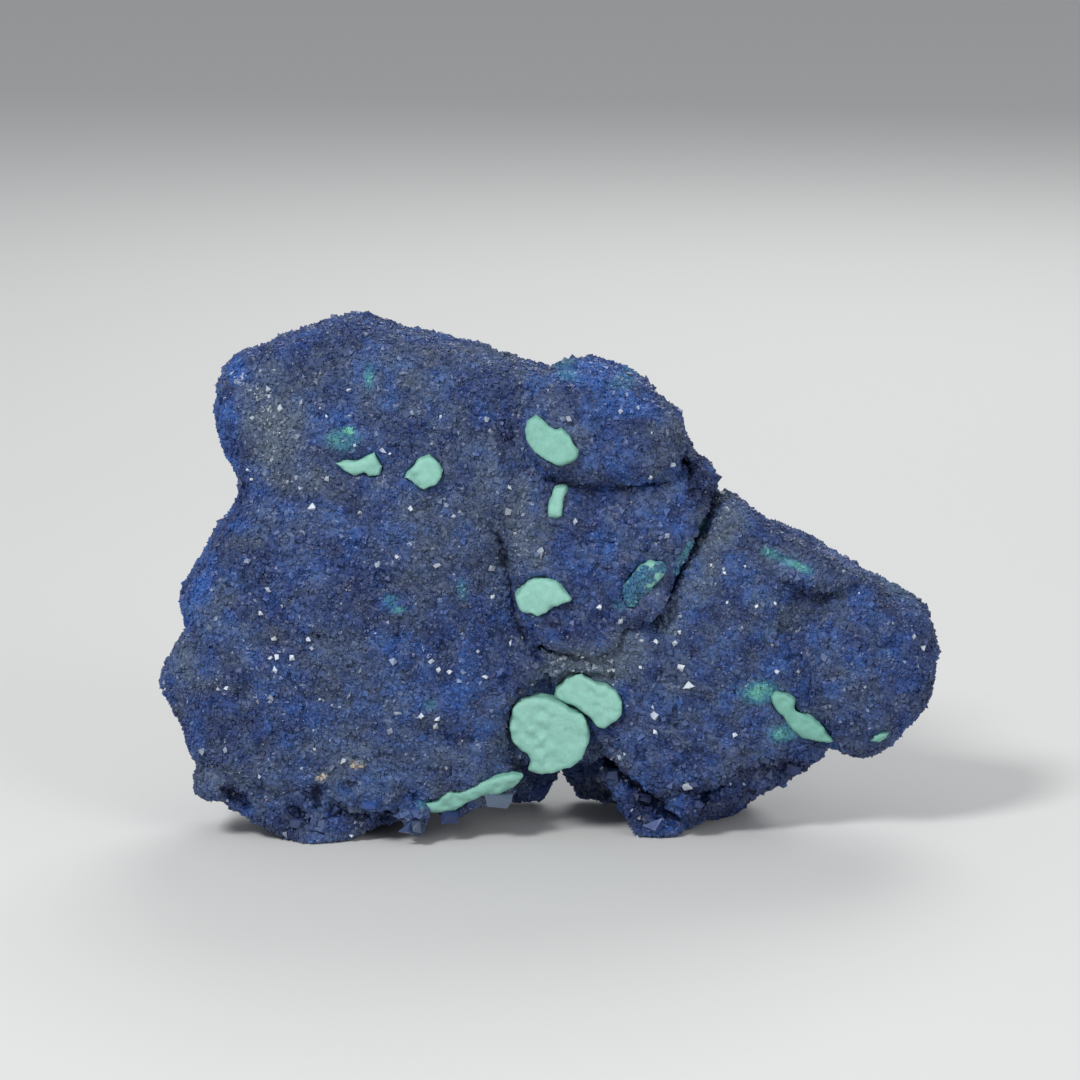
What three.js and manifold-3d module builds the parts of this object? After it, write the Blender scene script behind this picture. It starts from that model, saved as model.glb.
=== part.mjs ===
// Azurite specimen: one mass of intergrown azurite lobes that stands on its own feet, with an arch between
// them, and small malachite growths seated in its front face.
// Millimetres, +Z up, +X to the right, the front faces -Y. The origin is on the resting plane, under the
// middle of the bounding box.
import * as THREE from "three";
import { mergeVertices } from "three/addons/utils/BufferGeometryUtils.js";
import Module from "manifold-3d";

const wasm = await Module();
wasm.setup();

// Driving dimensions.
const CELL = 1.15; // edge of a cell of the grid that the azurite is meshed on
const GRID_LOW = new THREE.Vector3(-27, -10, -2.5);
const GRID_HIGH = new THREE.Vector3(27, 12, 34.5);
const MIDDLE_Y = 1.2; // Y of the bounding box's middle in the tables below; finished parts are moved by it
const LOBE_STEPS = 4; // points on a lobe's outline for each one that is given
const GROWTH_STEPS = 1; // the same for a growth's outline
const SEAT_GAP = 0.3; // clear space round and behind a growth
const EDGE = 0.2; // radius of its front edge
const BEND = EDGE / 3; // inset and depth of the middle of that edge
const SOCKET_REACH = 1.6; // how far in front of its seat a socket is cut clear
const PINCH_FILL = 0.1; // how far inside a filled corner of the grid is taken, in cells
const GROUND = new THREE.Vector3(80, 60, 10); // the block below the resting plane

const AZURITE = new THREE.MeshStandardMaterial({ color: 0x3f4f71, roughness: 0.55, metalness: 0 });
const MALACHITE = new THREE.MeshStandardMaterial({ color: 0x8abcaf, roughness: 0.85, metalness: 0 });

// Eight points round an oval.
function oval(cx, cz, rx, rz) {
  return Array.from({ length: 8 }, (_, i) => {
    const angle = (i / 8) * 2 * Math.PI;
    return [cx + rx * Math.cos(angle), cz + rz * Math.sin(angle)];
  });
}

// The azurite's lobes, each a pillow. outline is in X and Z. front and back are the Y of its two faces at the
// outline's middle; lean is how far both recede for each unit up and yaw for each unit to the right; dome
// is the faces' radius of curvature; rim rounds the edges, and blend is how softly the lobe runs into
// those before it.
const LOBES = [
  {
    name: "body behind the front lobes",
    outline: [[-18.5, 4.6], [-20.5, 11], [-19, 19], [-18, 26], [-12, 29], [-3, 27.5], [4, 26], [8, 20],
      [16, 14.4], [21, 11], [18, 7], [10, 5.4], [3, 6], [-3, 6.5], [-10, 4.6]],
    front: -1, back: 5.5, lean: 0.12, yaw: 0, dome: 90, rim: 2.5, blend: 0,
  },
  {
    name: "upper left",
    outline: [[-18.5, 25], [-18, 29.4], [-15.2, 31.2], [-12.3, 31.9], [-9.4, 31], [-6, 30.4], [-2.8, 29.5],
      [1, 27.8], [2, 22], [-3, 17], [-12, 16], [-17, 18.5]],
    front: -3.4, back: 5.5, lean: 0.24, yaw: -0.03, dome: 45, rim: 2.2, blend: 1.2,
  },
  {
    name: "upper left end",
    outline: [[-20.7, 23.8], [-21.1, 25.4], [-21, 27.4], [-20.2, 28.9], [-18.2, 30], [-14, 30.6],
      [-12.6, 25], [-13.5, 18.5], [-18.2, 18.6], [-19.3, 20.4], [-19.5, 22.2]],
    front: -2.2, back: 4.5, lean: 0.16, yaw: -0.42, dome: 30, rim: 1.6, blend: 0.8,
  },
  {
    name: "right",
    outline: [[9.7, 21], [13, 19], [15.6, 17.4], [18.5, 14], [18.5, 9], [17, 5], [14.5, 4.2],
      [11.5, 3.2], [8.5, 2.6], [6, 2.4], [4.3, 4], [2.8, 5.6], [1.6, 8], [0.3, 11], [3.6, 12.4], [6.6, 15.4],
      [8.4, 18.6]],
    front: -4.6, back: 4.5, lean: 0.13, yaw: 0.02, dome: 48, rim: 1.8, blend: 0.8,
  },
  {
    name: "bulb at the right end",
    outline: [[16.2, 14.8], [18, 16.6], [19.7, 16.3], [21.4, 15.2], [23.3, 14], [24.1, 11.8], [23.6, 8.7],
      [21.8, 6.1], [19.6, 5], [17.4, 5.6], [15.8, 8], [14.8, 11], [15, 13.4]],
    front: -4.9, back: 4, lean: 0.1, yaw: 0.06, dome: 19, rim: 2.2, blend: 0.5,
  },
  {
    name: "small knob on the right shoulder",
    outline: [[12.3, 18.8], [13.8, 19.2], [15.6, 18.5], [17.6, 17.5], [19.1, 16.3], [17.5, 15.5], [15, 15.7],
      [12.8, 17]],
    front: -4.4, back: 3, lean: 0.3, yaw: 0.06, dome: 12, rim: 1.2, blend: 0.3,
  },
  {
    name: "lower left, upper half",
    outline: [[-19.3, 20.7], [-15.5, 22], [-9.4, 22.2], [-5, 21.5], [-3.5, 19.4], [-2.7, 16.6], [-2, 13.2],
      [-2, 9], [-10, 7], [-18, 8.5], [-22, 11], [-22.9, 13.4], [-23.1, 15.3], [-21.4, 18]],
    front: -5.4, back: 4.5, lean: 0.12, yaw: -0.04, dome: 40, rim: 2.4, blend: 0.8,
  },
  {
    name: "lower left, lower half",
    outline: [[-23.7, 11.2], [-24.4, 9.4], [-23.3, 7], [-22.4, 4.6], [-19, 2.9], [-15, 2.6], [-11, 2.9],
      [-7.6, 2.3], [-3.6, 3.2], [-2.6, 5.6], [-2.4, 8], [-0.6, 9.8], [-1.4, 12.3], [-8, 13.4], [-17, 13.2],
      [-22.4, 12.6]],
    front: -5.9, back: 3.5, lean: 0.02, yaw: -0.05, dome: 42, rim: 1.7, blend: 0.6,
  },
  {
    name: "floor of the left crease",
    outline: [[-3.8, 21], [-1, 22], [0.6, 21], [1, 14], [2, 9.6], [-1, 8.6], [-3, 9.5], [-3.6, 15]],
    front: -3.95, back: 3, lean: 0, yaw: -0.02, dome: 40, rim: 0.8, blend: 0.4,
  },
  {
    name: "ridge beside the right crease",
    outline: [[4.6, 11.2], [6.4, 13.9], [7.6, 16], [9, 18.8], [10.6, 21.4], [13.4, 19.4], [14.4, 16.4],
      [12.8, 12.6], [9.4, 9.4]],
    front: -4.45, back: 0, lean: 0.12, yaw: 0.07, dome: 40, rim: 0.9, blend: 1.4,
  },
  {
    name: "wedge between the creases",
    outline: [[-2.6, 22.4], [-0.4, 23.4], [5, 23.8], [9, 23.6], [10.2, 22.2], [8.8, 18.8], [7.5, 16.5],
      [6.6, 14.6], [5.5, 13.7], [4.6, 13.3], [4, 12.2], [2.8, 11.7], [1, 11.7], [-0.7, 12.4], [-1.8, 14.2],
      [-2.4, 16.4], [-3.3, 19.4]],
    front: -5.18, back: 2, lean: 0.1, yaw: 0.01, dome: 60, rim: 1.1, blend: 0.3,
  },
  {
    name: "dark shoulder beside the wedge",
    outline: [[7.4, 24.8], [8.6, 24.3], [9.8, 22.2], [10.5, 21], [9.4, 20.4], [7.8, 21.6]],
    front: -3.6, back: 3, lean: 0.2, yaw: 0.2, dome: 10, rim: 0.9, blend: 0.3,
  },
  {
    name: "knob",
    outline: [[-2, 25], [-1.6, 27.5], [0.6, 29], [2.6, 29.4], [4.8, 28.6], [6.6, 27.4], [8, 26.2],
      [8.4, 24.4], [7.5, 22.9], [5, 22.4], [2, 22.5], [-0.6, 23]],
    front: -5.6, back: 3.5, lean: 0.16, yaw: 0.04, dome: 16, rim: 1.6, blend: 0.5,
  },
  {
    name: "roof of the arch",
    outline: [[-4.2, 4.6], [-3, 8], [0, 10.6], [3.6, 9], [4.4, 5.4], [2.4, 4.5], [-1, 4.4]],
    front: -3.6, back: 4.5, lean: 0.1, yaw: 0, dome: 60, rim: 0.8, blend: 0.6,
  },
  {
    name: "rear wall of the arch, left of the gap",
    outline: [[-9, 5.6], [-8, 1.2], [-4, 0.6], [-0.7, 0.5], [-0.1, 1.6], [0.4, 2.7], [0.6, 5.6]],
    front: 2, back: 5.6, lean: 0, yaw: 0, dome: 30, rim: 0.9, blend: 0.3,
  },
  {
    name: "rear wall of the arch, right of the gap",
    outline: [[0.6, 5.6], [0.8, 2.7], [1.4, 1.6], [1.9, 0.5], [5, 0.6], [8, 1.2], [9, 5.6]],
    front: 2, back: 5.6, lean: 0, yaw: 0, dome: 30, rim: 0.9, blend: 0.3,
  },
  {
    name: "lip under the left side's lower edge",
    outline: [[-7.3, 3.4], [-6.9, 1.5], [-5.8, 1.4], [-4.4, 2.2], [-2.8, 2.5], [-2.2, 3.6], [-3, 5]],
    front: -4.9, back: -0.5, lean: 0, yaw: 0, dome: 30, rim: 0.4, blend: 0.3,
  },
  {
    name: "left foot",
    outline: [[-21.9, 4.6], [-21.6, 2.6], [-19, 1.3], [-16.8, 0.1], [-14.8, -0.7], [-12.8, -0.2],
      [-10.8, 0.9], [-8.6, 1.5], [-7.2, 3.2], [-12, 4.6], [-18, 5]],
    front: -5.3, back: 2.5, lean: 0, yaw: -0.06, dome: 40, rim: 1.1, blend: 0.3,
  },
  {
    name: "ledge over the left foot",
    outline: [[-14.2, 4.8], [-14.3, 2.9], [-12.2, 2.2], [-10, 2.1], [-9.2, 2.8], [-9.6, 4.4], [-12, 5.2]],
    front: -6.1, back: -2, lean: -0.05, yaw: -0.05, dome: 12, rim: 0.7, blend: 0.4,
  },
  {
    name: "corner of the left foot",
    outline: oval(-20.9, 3.6, 1.5, 1.3),
    front: -5.2, back: -1, lean: 0, yaw: -0.1, dome: 5, rim: 0.9, blend: 0.2,
  },
  {
    name: "block at the arch's left side",
    outline: [[-9.5, 2.6], [-9, 0.9], [-8, 0.7], [-7.5, 2.6]],
    front: -5.9, back: -2, lean: 0, yaw: 0.1, dome: 9, rim: 0.4, blend: 0.2,
  },
  {
    name: "right foot",
    outline: [[3.1, 4.4], [4, 2], [5.2, 0.2], [7.2, -0.6], [9.4, 0.4], [11.8, 1.5], [14.4, 2.7],
      [16.9, 4.5], [15.4, 7], [9, 5]],
    front: -3, back: 2.5, lean: 0, yaw: 0.06, dome: 40, rim: 1, blend: 0.3,
  },
  {
    name: "rear left foot",
    outline: oval(-12.5, 3.4, 5, 4),
    front: -1, back: 6.6, lean: 0, yaw: 0, dome: 14, rim: 2, blend: 0.8,
  },
  {
    name: "rear right foot",
    outline: oval(9.5, 3.6, 4.4, 4.2),
    front: -1, back: 6.4, lean: 0, yaw: 0, dome: 14, rim: 2, blend: 0.8,
  },
  {
    name: "back, left",
    outline: oval(-13, 13, 8.2, 7.2),
    front: 0, back: 8.4, lean: 0.05, yaw: 0, dome: 16, rim: 3, blend: 0.8,
  },
  {
    name: "back, top",
    outline: oval(-9, 23.5, 7.5, 6),
    front: 0, back: 7.8, lean: 0.15, yaw: 0.03, dome: 15, rim: 2.6, blend: 0.8,
  },
  {
    name: "back, right",
    outline: oval(12, 11, 8.6, 5.4),
    front: 0, back: 7.2, lean: 0.05, yaw: -0.04, dome: 18, rim: 2.4, blend: 0.8,
  },
  {
    name: "back, middle",
    outline: oval(2, 18.5, 6.5, 6.2),
    front: 0, back: 7.6, lean: 0.1, yaw: 0, dome: 13, rim: 2.4, blend: 0.8,
  },
];

// The malachite growths, each a plate with a rounded front edge, seated in a socket in the azurite. seat is
// a point of the plane of the azurite's face that it lies along, and that plane's yaw and lean. proud is how
// far the plate stands out of the face, sunk how far it reaches in, and outline its outline in X and Z.
const GROWTHS = [
  {
    name: "malachite_knob_spot",
    seat: { x: 0, y: -5.4, z: 25.3, yaw: -0.25, lean: 0.1 }, proud: 0.35, sunk: 0.9,
    outline: [[-0.9, 26.9], [-0.5, 26.7], [-0.3, 26.4], [0.1, 26.1], [0.6, 26.2], [1.1, 25.8], [1.3, 25.3],
      [1.6, 24.9], [1.4, 24.4], [0.9, 24.1], [0.3, 24], [-0.5, 24.3], [-1, 24.7], [-1.4, 25.3],
      [-1.6, 25.9], [-1.4, 26.6]],
  },
  {
    name: "malachite_upper_spot",
    seat: { x: -7.9, y: -3.95, z: 23.3, yaw: -0.12, lean: 0.12 }, proud: 0.35, sunk: 0.9,
    outline: [[-7.5, 24.3], [-7.2, 24.1], [-6.9, 23.8], [-6.6, 23.4], [-6.7, 23], [-7, 22.5], [-7.4, 22.4],
      [-7.8, 22.1], [-8.3, 22.4], [-8.8, 22.8], [-9.1, 22.9], [-8.8, 23.3], [-8.4, 23.7], [-8.1, 24.1]],
  },
  {
    name: "malachite_upper_crescent",
    seat: { x: -11.8, y: -3.7, z: 23.6, yaw: -0.08, lean: 0.05 }, proud: 0.3, sunk: 0.8,
    outline: [[-10.8, 24.5], [-10.6, 24], [-10.3, 23.6], [-10.5, 23], [-11.2, 22.9], [-11.5, 23.2],
      [-12.1, 23], [-12.6, 23.3], [-13, 23.6], [-13.4, 23.8], [-12.7, 23.9], [-12, 23.9], [-11.5, 24],
      [-11.2, 24.3]],
  },
  {
    name: "malachite_crease_bar",
    seat: { x: 0.4, y: -4.55, z: 21.6, yaw: -0.25, lean: 0.1 }, proud: 0.3, sunk: 0.7,
    outline: [[0.2, 22.4], [0.9, 22.5], [0.9, 22.2], [0.6, 21.6], [0.6, 20.7], [0.3, 20.5], [-0.2, 20.6],
      [-0.1, 21.5]],
  },
  {
    name: "malachite_wedge_spot",
    seat: { x: -0.5, y: -5.1, z: 15.4, yaw: -0.15, lean: 0.08 }, proud: 0.4, sunk: 0.9,
    outline: [[-1.1, 16.9], [-0.6, 16.9], [-0.2, 16.8], [0.3, 16.7], [0.6, 16.4], [0.9, 16], [1.2, 15.6],
      [0.9, 15.4], [0.2, 15.1], [-0.3, 14.7], [-0.8, 14.4], [-1.2, 14.6], [-1.8, 14.7], [-2.1, 15],
      [-2.2, 15.7], [-1.9, 16.2], [-1.5, 16.7]],
  },
  {
    name: "malachite_arch_disc_small",
    seat: { x: 2.4, y: -4.1, z: 9, yaw: -0.25, lean: 0 }, proud: 0.6, sunk: 1.2,
    outline: [[1.1, 10.4], [1.9, 10.6], [2.7, 10.1], [3.4, 10], [4, 9.6], [4.4, 9], [4.3, 8.2], [3.8, 7.7],
      [3.3, 7.3], [2.7, 7.4], [2.2, 8], [1.6, 8.4], [0.7, 8.8], [0.2, 9], [0.2, 9.5], [0.7, 10]],
  },
  {
    name: "malachite_arch_disc_large",
    seat: { x: -0.1, y: -4.2, z: 6.9, yaw: -0.12, lean: -0.05 }, proud: 0.7, sunk: 1.3,
    outline: [[-2.4, 8.5], [-2.1, 8.9], [-1.5, 9.1], [-1, 9.2], [-0.3, 9.2], [0.6, 8.8], [1.5, 8.3],
      [2.1, 7.9], [2.3, 7.1], [2.3, 6.3], [1.9, 5.4], [1.2, 4.8], [0.1, 4.3], [-0.9, 4.3], [-1.4, 4.5],
      [-1.2, 5], [-1.3, 5.5], [-1.8, 5.8], [-2.4, 6.3], [-2.6, 7.2]],
  },
  {
    name: "malachite_arch_streak",
    seat: { x: -4.8, y: -4.9, z: 3.2, yaw: 0.1, lean: -0.35 }, proud: 0.35, sunk: 0.8,
    outline: [[-1.8, 4.3], [-2.4, 4.5], [-3.4, 4.3], [-4, 4], [-4.7, 3.7], [-5.2, 3.4], [-5.8, 3.3],
      [-6.3, 3.4], [-6.7, 3.1], [-7, 2.6], [-7.4, 2.5], [-7.8, 2.6], [-7.8, 2.1], [-7.2, 1.9], [-6.4, 2],
      [-5.5, 2.2], [-4.9, 2.8], [-4.4, 3.1], [-3.8, 3], [-3.1, 3.1], [-2.5, 3.5], [-2.1, 3.8]],
  },
  {
    name: "malachite_wedge_crust",
    seat: { x: 5.7, y: -5.15, z: 16.5, yaw: -0.03, lean: 0.05 }, proud: 0.2, sunk: 0.6,
    outline: [[4.4, 15.6], [4.4, 16.4], [4.9, 17.1], [5.5, 17.7], [6.1, 17.9], [6.8, 17.9], [7.1, 17.6],
      [6.9, 17.1], [6.5, 16.5], [6, 16.1], [5.5, 15.6], [5.1, 15.1], [4.6, 15]],
  },
  {
    name: "malachite_right_bow",
    seat: { x: 15.3, y: -4.35, z: 8, yaw: -0.05, lean: -0.05 }, proud: 0.35, sunk: 0.8,
    outline: [[13.6, 9.3], [13.9, 9.5], [14.6, 9.4], [15.1, 9], [15.1, 8.5], [15.3, 8.2], [16, 8],
      [16.6, 7.5], [17.1, 6.9], [17.5, 6.3], [16.8, 6.3], [16.2, 6.4], [15.5, 6.6], [15, 7], [14.6, 7.5],
      [14.4, 7.9], [14, 8.2], [13.7, 8.6]],
  },
  {
    name: "malachite_right_fleck",
    seat: { x: 20.3, y: -4.55, z: 6.6, yaw: 0.15, lean: -0.4 }, proud: 0.2, sunk: 0.6,
    outline: [[19.7, 6.4], [20, 6.8], [20.5, 7], [20.9, 6.9], [20.7, 6.6], [20.3, 6.3]],
  },
];

// ---------------------------------------------------------------------------
// The azurite's field: negative inside, about the distance in millimetres.

function closedCurve(points, steps) {
  const anticlockwise = THREE.ShapeUtils.area(points.map(([x, z]) => new THREE.Vector2(x, z))) > 0;
  const corners = points.map(([x, z]) => new THREE.Vector3(x, 0, z));
  if (!anticlockwise) corners.reverse();
  const curve = new THREE.CatmullRomCurve3(corners, true, "catmullrom", 0.5);
  return curve.getPoints(points.length * steps).slice(0, -1).map((p) => [p.x, p.z]);
}

function middle(points) {
  const sum = points.reduce(([a, b], [x, z]) => [a + x, b + z], [0, 0]);
  return [sum[0] / points.length, sum[1] / points.length];
}

// Signed distance from (x, z) to a closed polygon, negative inside.
function polygonDistance(x, z, polygon) {
  let nearest = Infinity;
  let inside = false;
  for (let i = 0, j = polygon.length - 1; i < polygon.length; j = i++) {
    const [ax, az] = polygon[i];
    const [bx, bz] = polygon[j];
    const ex = bx - ax;
    const ez = bz - az;
    const along = THREE.MathUtils.clamp(((x - ax) * ex + (z - az) * ez) / (ex * ex + ez * ez), 0, 1);
    nearest = Math.min(nearest, (x - ax - ex * along) ** 2 + (z - az - ez * along) ** 2);
    if (az > z !== bz > z && x < ax + ((z - az) / ez) * ex) inside = !inside;
  }
  return Math.sqrt(nearest) * (inside ? -1 : 1);
}

function smoothMin(a, b, width) {
  if (width <= 0) return Math.min(a, b);
  const share = Math.max(width - Math.abs(a - b), 0) / width;
  return Math.min(a, b) - (share * share * width) / 4;
}

const SHAPES = LOBES.map((lobe) => ({
  ...lobe,
  curve: closedCurve(lobe.outline, LOBE_STEPS),
  centre: middle(lobe.outline),
}));

function lobeDistance(lobe, x, y, z) {
  const dx = x - lobe.centre[0];
  const dz = z - lobe.centre[1];
  const slope = lobe.lean * dz + lobe.yaw * dx;
  const sag = (dx * dx + dz * dz) / (2 * lobe.dome);
  const across = polygonDistance(x, z, lobe.curve) + lobe.rim;
  const through = Math.max(lobe.front + slope + sag - y, y - (lobe.back + slope - sag)) + lobe.rim;
  const outside = Math.hypot(Math.max(across, 0), Math.max(through, 0));
  return Math.min(Math.max(across, through), 0) + outside - lobe.rim;
}

function azuriteDistance(x, y, z) {
  return SHAPES.reduce((least, lobe) => smoothMin(least, lobeDistance(lobe, x, y, z), lobe.blend), Infinity);
}

// ---------------------------------------------------------------------------
// A closed mesh of the field's zero surface by surface nets: one vertex in each cell that the surface
// crosses, and one quad round each grid edge that it crosses.

// Where the surface would touch itself along an edge, with two opposite corners of a grid square inside and
// the other two outside, the outside corner nearer the surface is taken inside.
function fillPinches(values, strides, cell) {
  const pairs = [[strides[0], strides[1]], [strides[0], strides[2]], [strides[1], strides[2]]];
  for (let changed = true; changed;) {
    changed = false;
    for (const [u, w] of pairs)
      for (let a = 0; a + u + w < values.length; a++) {
        const inside = [a, a + u, a + w, a + u + w].map((n) => values[n] < 0);
        if (inside[0] !== inside[3] || inside[1] !== inside[2] || inside[0] === inside[1]) continue;
        const [p, q] = inside[0] ? [a + u, a + w] : [a, a + u + w];
        values[values[p] < values[q] ? p : q] = -PINCH_FILL * cell;
        changed = true;
      }
  }
}

function surfaceNet(field, low, high, cell) {
  const counts = ["x", "y", "z"].map((k) => Math.ceil((high[k] - low[k]) / cell) + 1);
  const [nx, ny, nz] = counts;
  const at = (i, j, k) => (k * ny + j) * nx + i;
  const values = new Float64Array(nx * ny * nz);
  for (let k = 0; k < nz; k++)
    for (let j = 0; j < ny; j++)
      for (let i = 0; i < nx; i++)
        values[at(i, j, k)] = field(low.x + i * cell, low.y + j * cell, low.z + k * cell);
  fillPinches(values, [1, nx, nx * ny], cell);

  const positions = [];
  const vertexOf = new Map();
  const corners = [0, 1, 2, 3, 4, 5, 6, 7].map((c) => [c & 1, (c >> 1) & 1, (c >> 2) & 1]);
  const apart = (a, b) => Math.hypot(a[0] - b[0], a[1] - b[1], a[2] - b[2]);
  const edges = corners.flatMap((a, p) =>
    corners.flatMap((b, q) => (q > p && apart(a, b) === 1 ? [[p, q]] : [])));
  for (let k = 0; k < nz - 1; k++)
    for (let j = 0; j < ny - 1; j++)
      for (let i = 0; i < nx - 1; i++) {
        const v = corners.map(([a, b, c]) => values[at(i + a, j + b, k + c)]);
        const crossings = edges.filter(([p, q]) => v[p] < 0 !== v[q] < 0);
        if (!crossings.length) continue;
        const sum = [0, 0, 0];
        for (const [p, q] of crossings) {
          const share = v[p] / (v[p] - v[q]);
          for (let n = 0; n < 3; n++) sum[n] += corners[p][n] + share * (corners[q][n] - corners[p][n]);
        }
        vertexOf.set(at(i, j, k), positions.length / 3);
        const [a, b, c] = sum.map((s) => s / crossings.length);
        positions.push(low.x + (i + a) * cell, low.y + (j + b) * cell, low.z + (k + c) * cell);
      }

  const triangles = [];
  const steps = [[1, 0, 0], [0, 1, 0], [0, 0, 1]];
  for (let k = 1; k < nz - 1; k++)
    for (let j = 1; j < ny - 1; j++)
      for (let i = 1; i < nx - 1; i++)
        steps.forEach((step, n) => {
          const here = values[at(i, j, k)] < 0;
          const there = values[at(i + step[0], j + step[1], k + step[2])] < 0;
          if (here === there) return;
          const u = steps[(n + 1) % 3];
          const w = steps[(n + 2) % 3];
          const cellAt = (a, b) =>
            vertexOf.get(at(i - a * u[0] - b * w[0], j - a * u[1] - b * w[1], k - a * u[2] - b * w[2]));
          const ring = [cellAt(1, 1), cellAt(0, 1), cellAt(0, 0), cellAt(1, 0)];
          const [p, q, r, s] = here ? ring : ring.reverse();
          triangles.push(p, q, r, p, r, s);
        });
  return { positions, triangles };
}

// ---------------------------------------------------------------------------
// Solids for the booleans.

function solidFrom({ positions, triangles }) {
  const vertProperties = new Float32Array(positions);
  const triVerts = new Uint32Array(triangles);
  return new wasm.Manifold(new wasm.Mesh({ numProp: 3, vertProperties, triVerts }));
}

function solidOf(geometry) {
  geometry.deleteAttribute("normal");
  geometry.deleteAttribute("uv");
  const merged = mergeVertices(geometry, 1e-4);
  return solidFrom({ positions: merged.attributes.position.array, triangles: merged.index.array });
}

function geometryOf(solid) {
  const mesh = solid.getMesh();
  const geometry = new THREE.BufferGeometry();
  geometry.setAttribute("position", new THREE.BufferAttribute(mesh.vertProperties, 3));
  geometry.setIndex(new THREE.BufferAttribute(mesh.triVerts, 1));
  return geometry;
}

// ---------------------------------------------------------------------------
// The malachite growths and their sockets.

// The outline moved outwards by a distance. Outlines run anticlockwise as seen from the front.
function grown(curve, by) {
  return curve.map(([x, z], i) => {
    const [px, pz] = curve[(i + curve.length - 1) % curve.length];
    const [nx, nz] = curve[(i + 1) % curve.length];
    const length = Math.hypot(nx - px, nz - pz);
    return [x + ((nz - pz) / length) * by, z - ((nx - px) / length) * by];
  });
}

// A plate that lies along its seat. levels run from its front to its back: how far each ring of its edge is
// inset from the outline, and its depth behind the seat.
function plate(curve, seat, levels) {
  const count = curve.length;
  const face = (x, z) => seat.y + seat.yaw * (x - seat.x) + seat.lean * (z - seat.z);
  const positions = levels.flatMap(([inset, depth]) =>
    grown(curve, -inset).flatMap(([x, z]) => [x, face(x, z) + depth, z]));
  const cap = THREE.ShapeUtils.triangulateShape(curve.map(([x, z]) => new THREE.Vector2(x, z)), []);
  const last = (levels.length - 1) * count;
  const triangles = cap.flatMap(([a, b, c]) => [a, b, c, last + a, last + c, last + b]);
  for (let ring = 0; ring < last; ring += count)
    for (let i = 0; i < count; i++) {
      const front = ring + i;
      const nextFront = ring + ((i + 1) % count);
      triangles.push(front, front + count, nextFront + count, front, nextFront + count, nextFront);
    }
  return solidFrom({ positions, triangles });
}

// ---------------------------------------------------------------------------

const specimen = new THREE.Group();

function addPiece(name, solid, material) {
  const mesh = new THREE.Mesh(geometryOf(solid).translate(0, -MIDDLE_Y, 0), material);
  mesh.name = name;
  specimen.add(mesh);
}

const under = new THREE.BoxGeometry(GROUND.x, GROUND.y, GROUND.z).translate(0, 0, -GROUND.z / 2);
const seats = GROWTHS.map((growth) => ({
  ...growth,
  curve: closedCurve(growth.outline, GROWTH_STEPS),
}));
const sockets = seats.map(({ curve, seat, sunk }) =>
  plate(grown(curve, SEAT_GAP), seat, [[0, -SOCKET_REACH], [0, sunk + SEAT_GAP]]));
const growths = seats.map(({ curve, seat, proud, sunk }) =>
  plate(curve, seat, [[EDGE, -proud], [BEND, BEND - proud], [0, EDGE - proud], [0, sunk]]));

const mass = solidFrom(surfaceNet(azuriteDistance, GRID_LOW, GRID_HIGH, CELL));
const standing = mass.subtract(solidOf(under));
addPiece("azurite", sockets.reduce((left, socket) => left.subtract(socket), standing), AZURITE);
growths.forEach((growth, i) => addPiece(seats[i].name, growth, MALACHITE));

export default specimen;
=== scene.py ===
"""The looks of an azurite specimen: a lumpy crust of fine azurite crystals with malachite growths on it.

The azurite's lobes are worked out in millimetres, as the CAD model's are, and every mesh is made in metres.
"""

import math
from collections import namedtuple

import bpy
import numpy as np
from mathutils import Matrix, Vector
from mathutils.bvhtree import BVHTree


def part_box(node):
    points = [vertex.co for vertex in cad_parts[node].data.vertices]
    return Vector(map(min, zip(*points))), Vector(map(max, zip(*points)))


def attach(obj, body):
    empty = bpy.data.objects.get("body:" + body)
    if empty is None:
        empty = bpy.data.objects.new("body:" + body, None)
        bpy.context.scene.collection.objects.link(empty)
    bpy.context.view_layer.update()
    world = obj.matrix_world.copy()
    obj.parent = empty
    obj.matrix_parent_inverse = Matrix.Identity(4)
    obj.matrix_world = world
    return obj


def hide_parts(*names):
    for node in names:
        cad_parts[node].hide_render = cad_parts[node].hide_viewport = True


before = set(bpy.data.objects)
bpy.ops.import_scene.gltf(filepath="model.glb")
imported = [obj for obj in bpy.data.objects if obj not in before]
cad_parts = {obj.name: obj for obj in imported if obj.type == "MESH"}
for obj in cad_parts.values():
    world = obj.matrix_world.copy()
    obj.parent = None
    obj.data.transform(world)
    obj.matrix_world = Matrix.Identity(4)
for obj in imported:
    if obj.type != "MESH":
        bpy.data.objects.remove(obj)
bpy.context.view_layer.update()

BODY = "root"
MM = 0.001

# ---------------------------------------------------------------------------
# The azurite's lobes, in the CAD model's own terms, in millimetres. Each is a pillow: outline is in X and Z,
# front and back are the Y of its two faces at the outline's middle, dome is the faces' radius of curvature,
# rim rounds the edges, lean and yaw are how far both faces recede for each unit up and to the right, and
# blend is how softly the lobe runs into those before it.

LUMP_BLEND = 0.15
Lobe = namedtuple("Lobe", "name outline front back dome rim lean yaw blend", defaults=(0, 0, LUMP_BLEND))
MIDDLE_Y = 1.2  # Y of the bounding box's middle in the lobes' table; the finished meshes are moved by it


def oval(cx, cz, rx, rz):
    angles = np.arange(8) / 8 * 2 * math.pi
    return [[cx + rx * math.cos(a), cz + rz * math.sin(a)] for a in angles]


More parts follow.
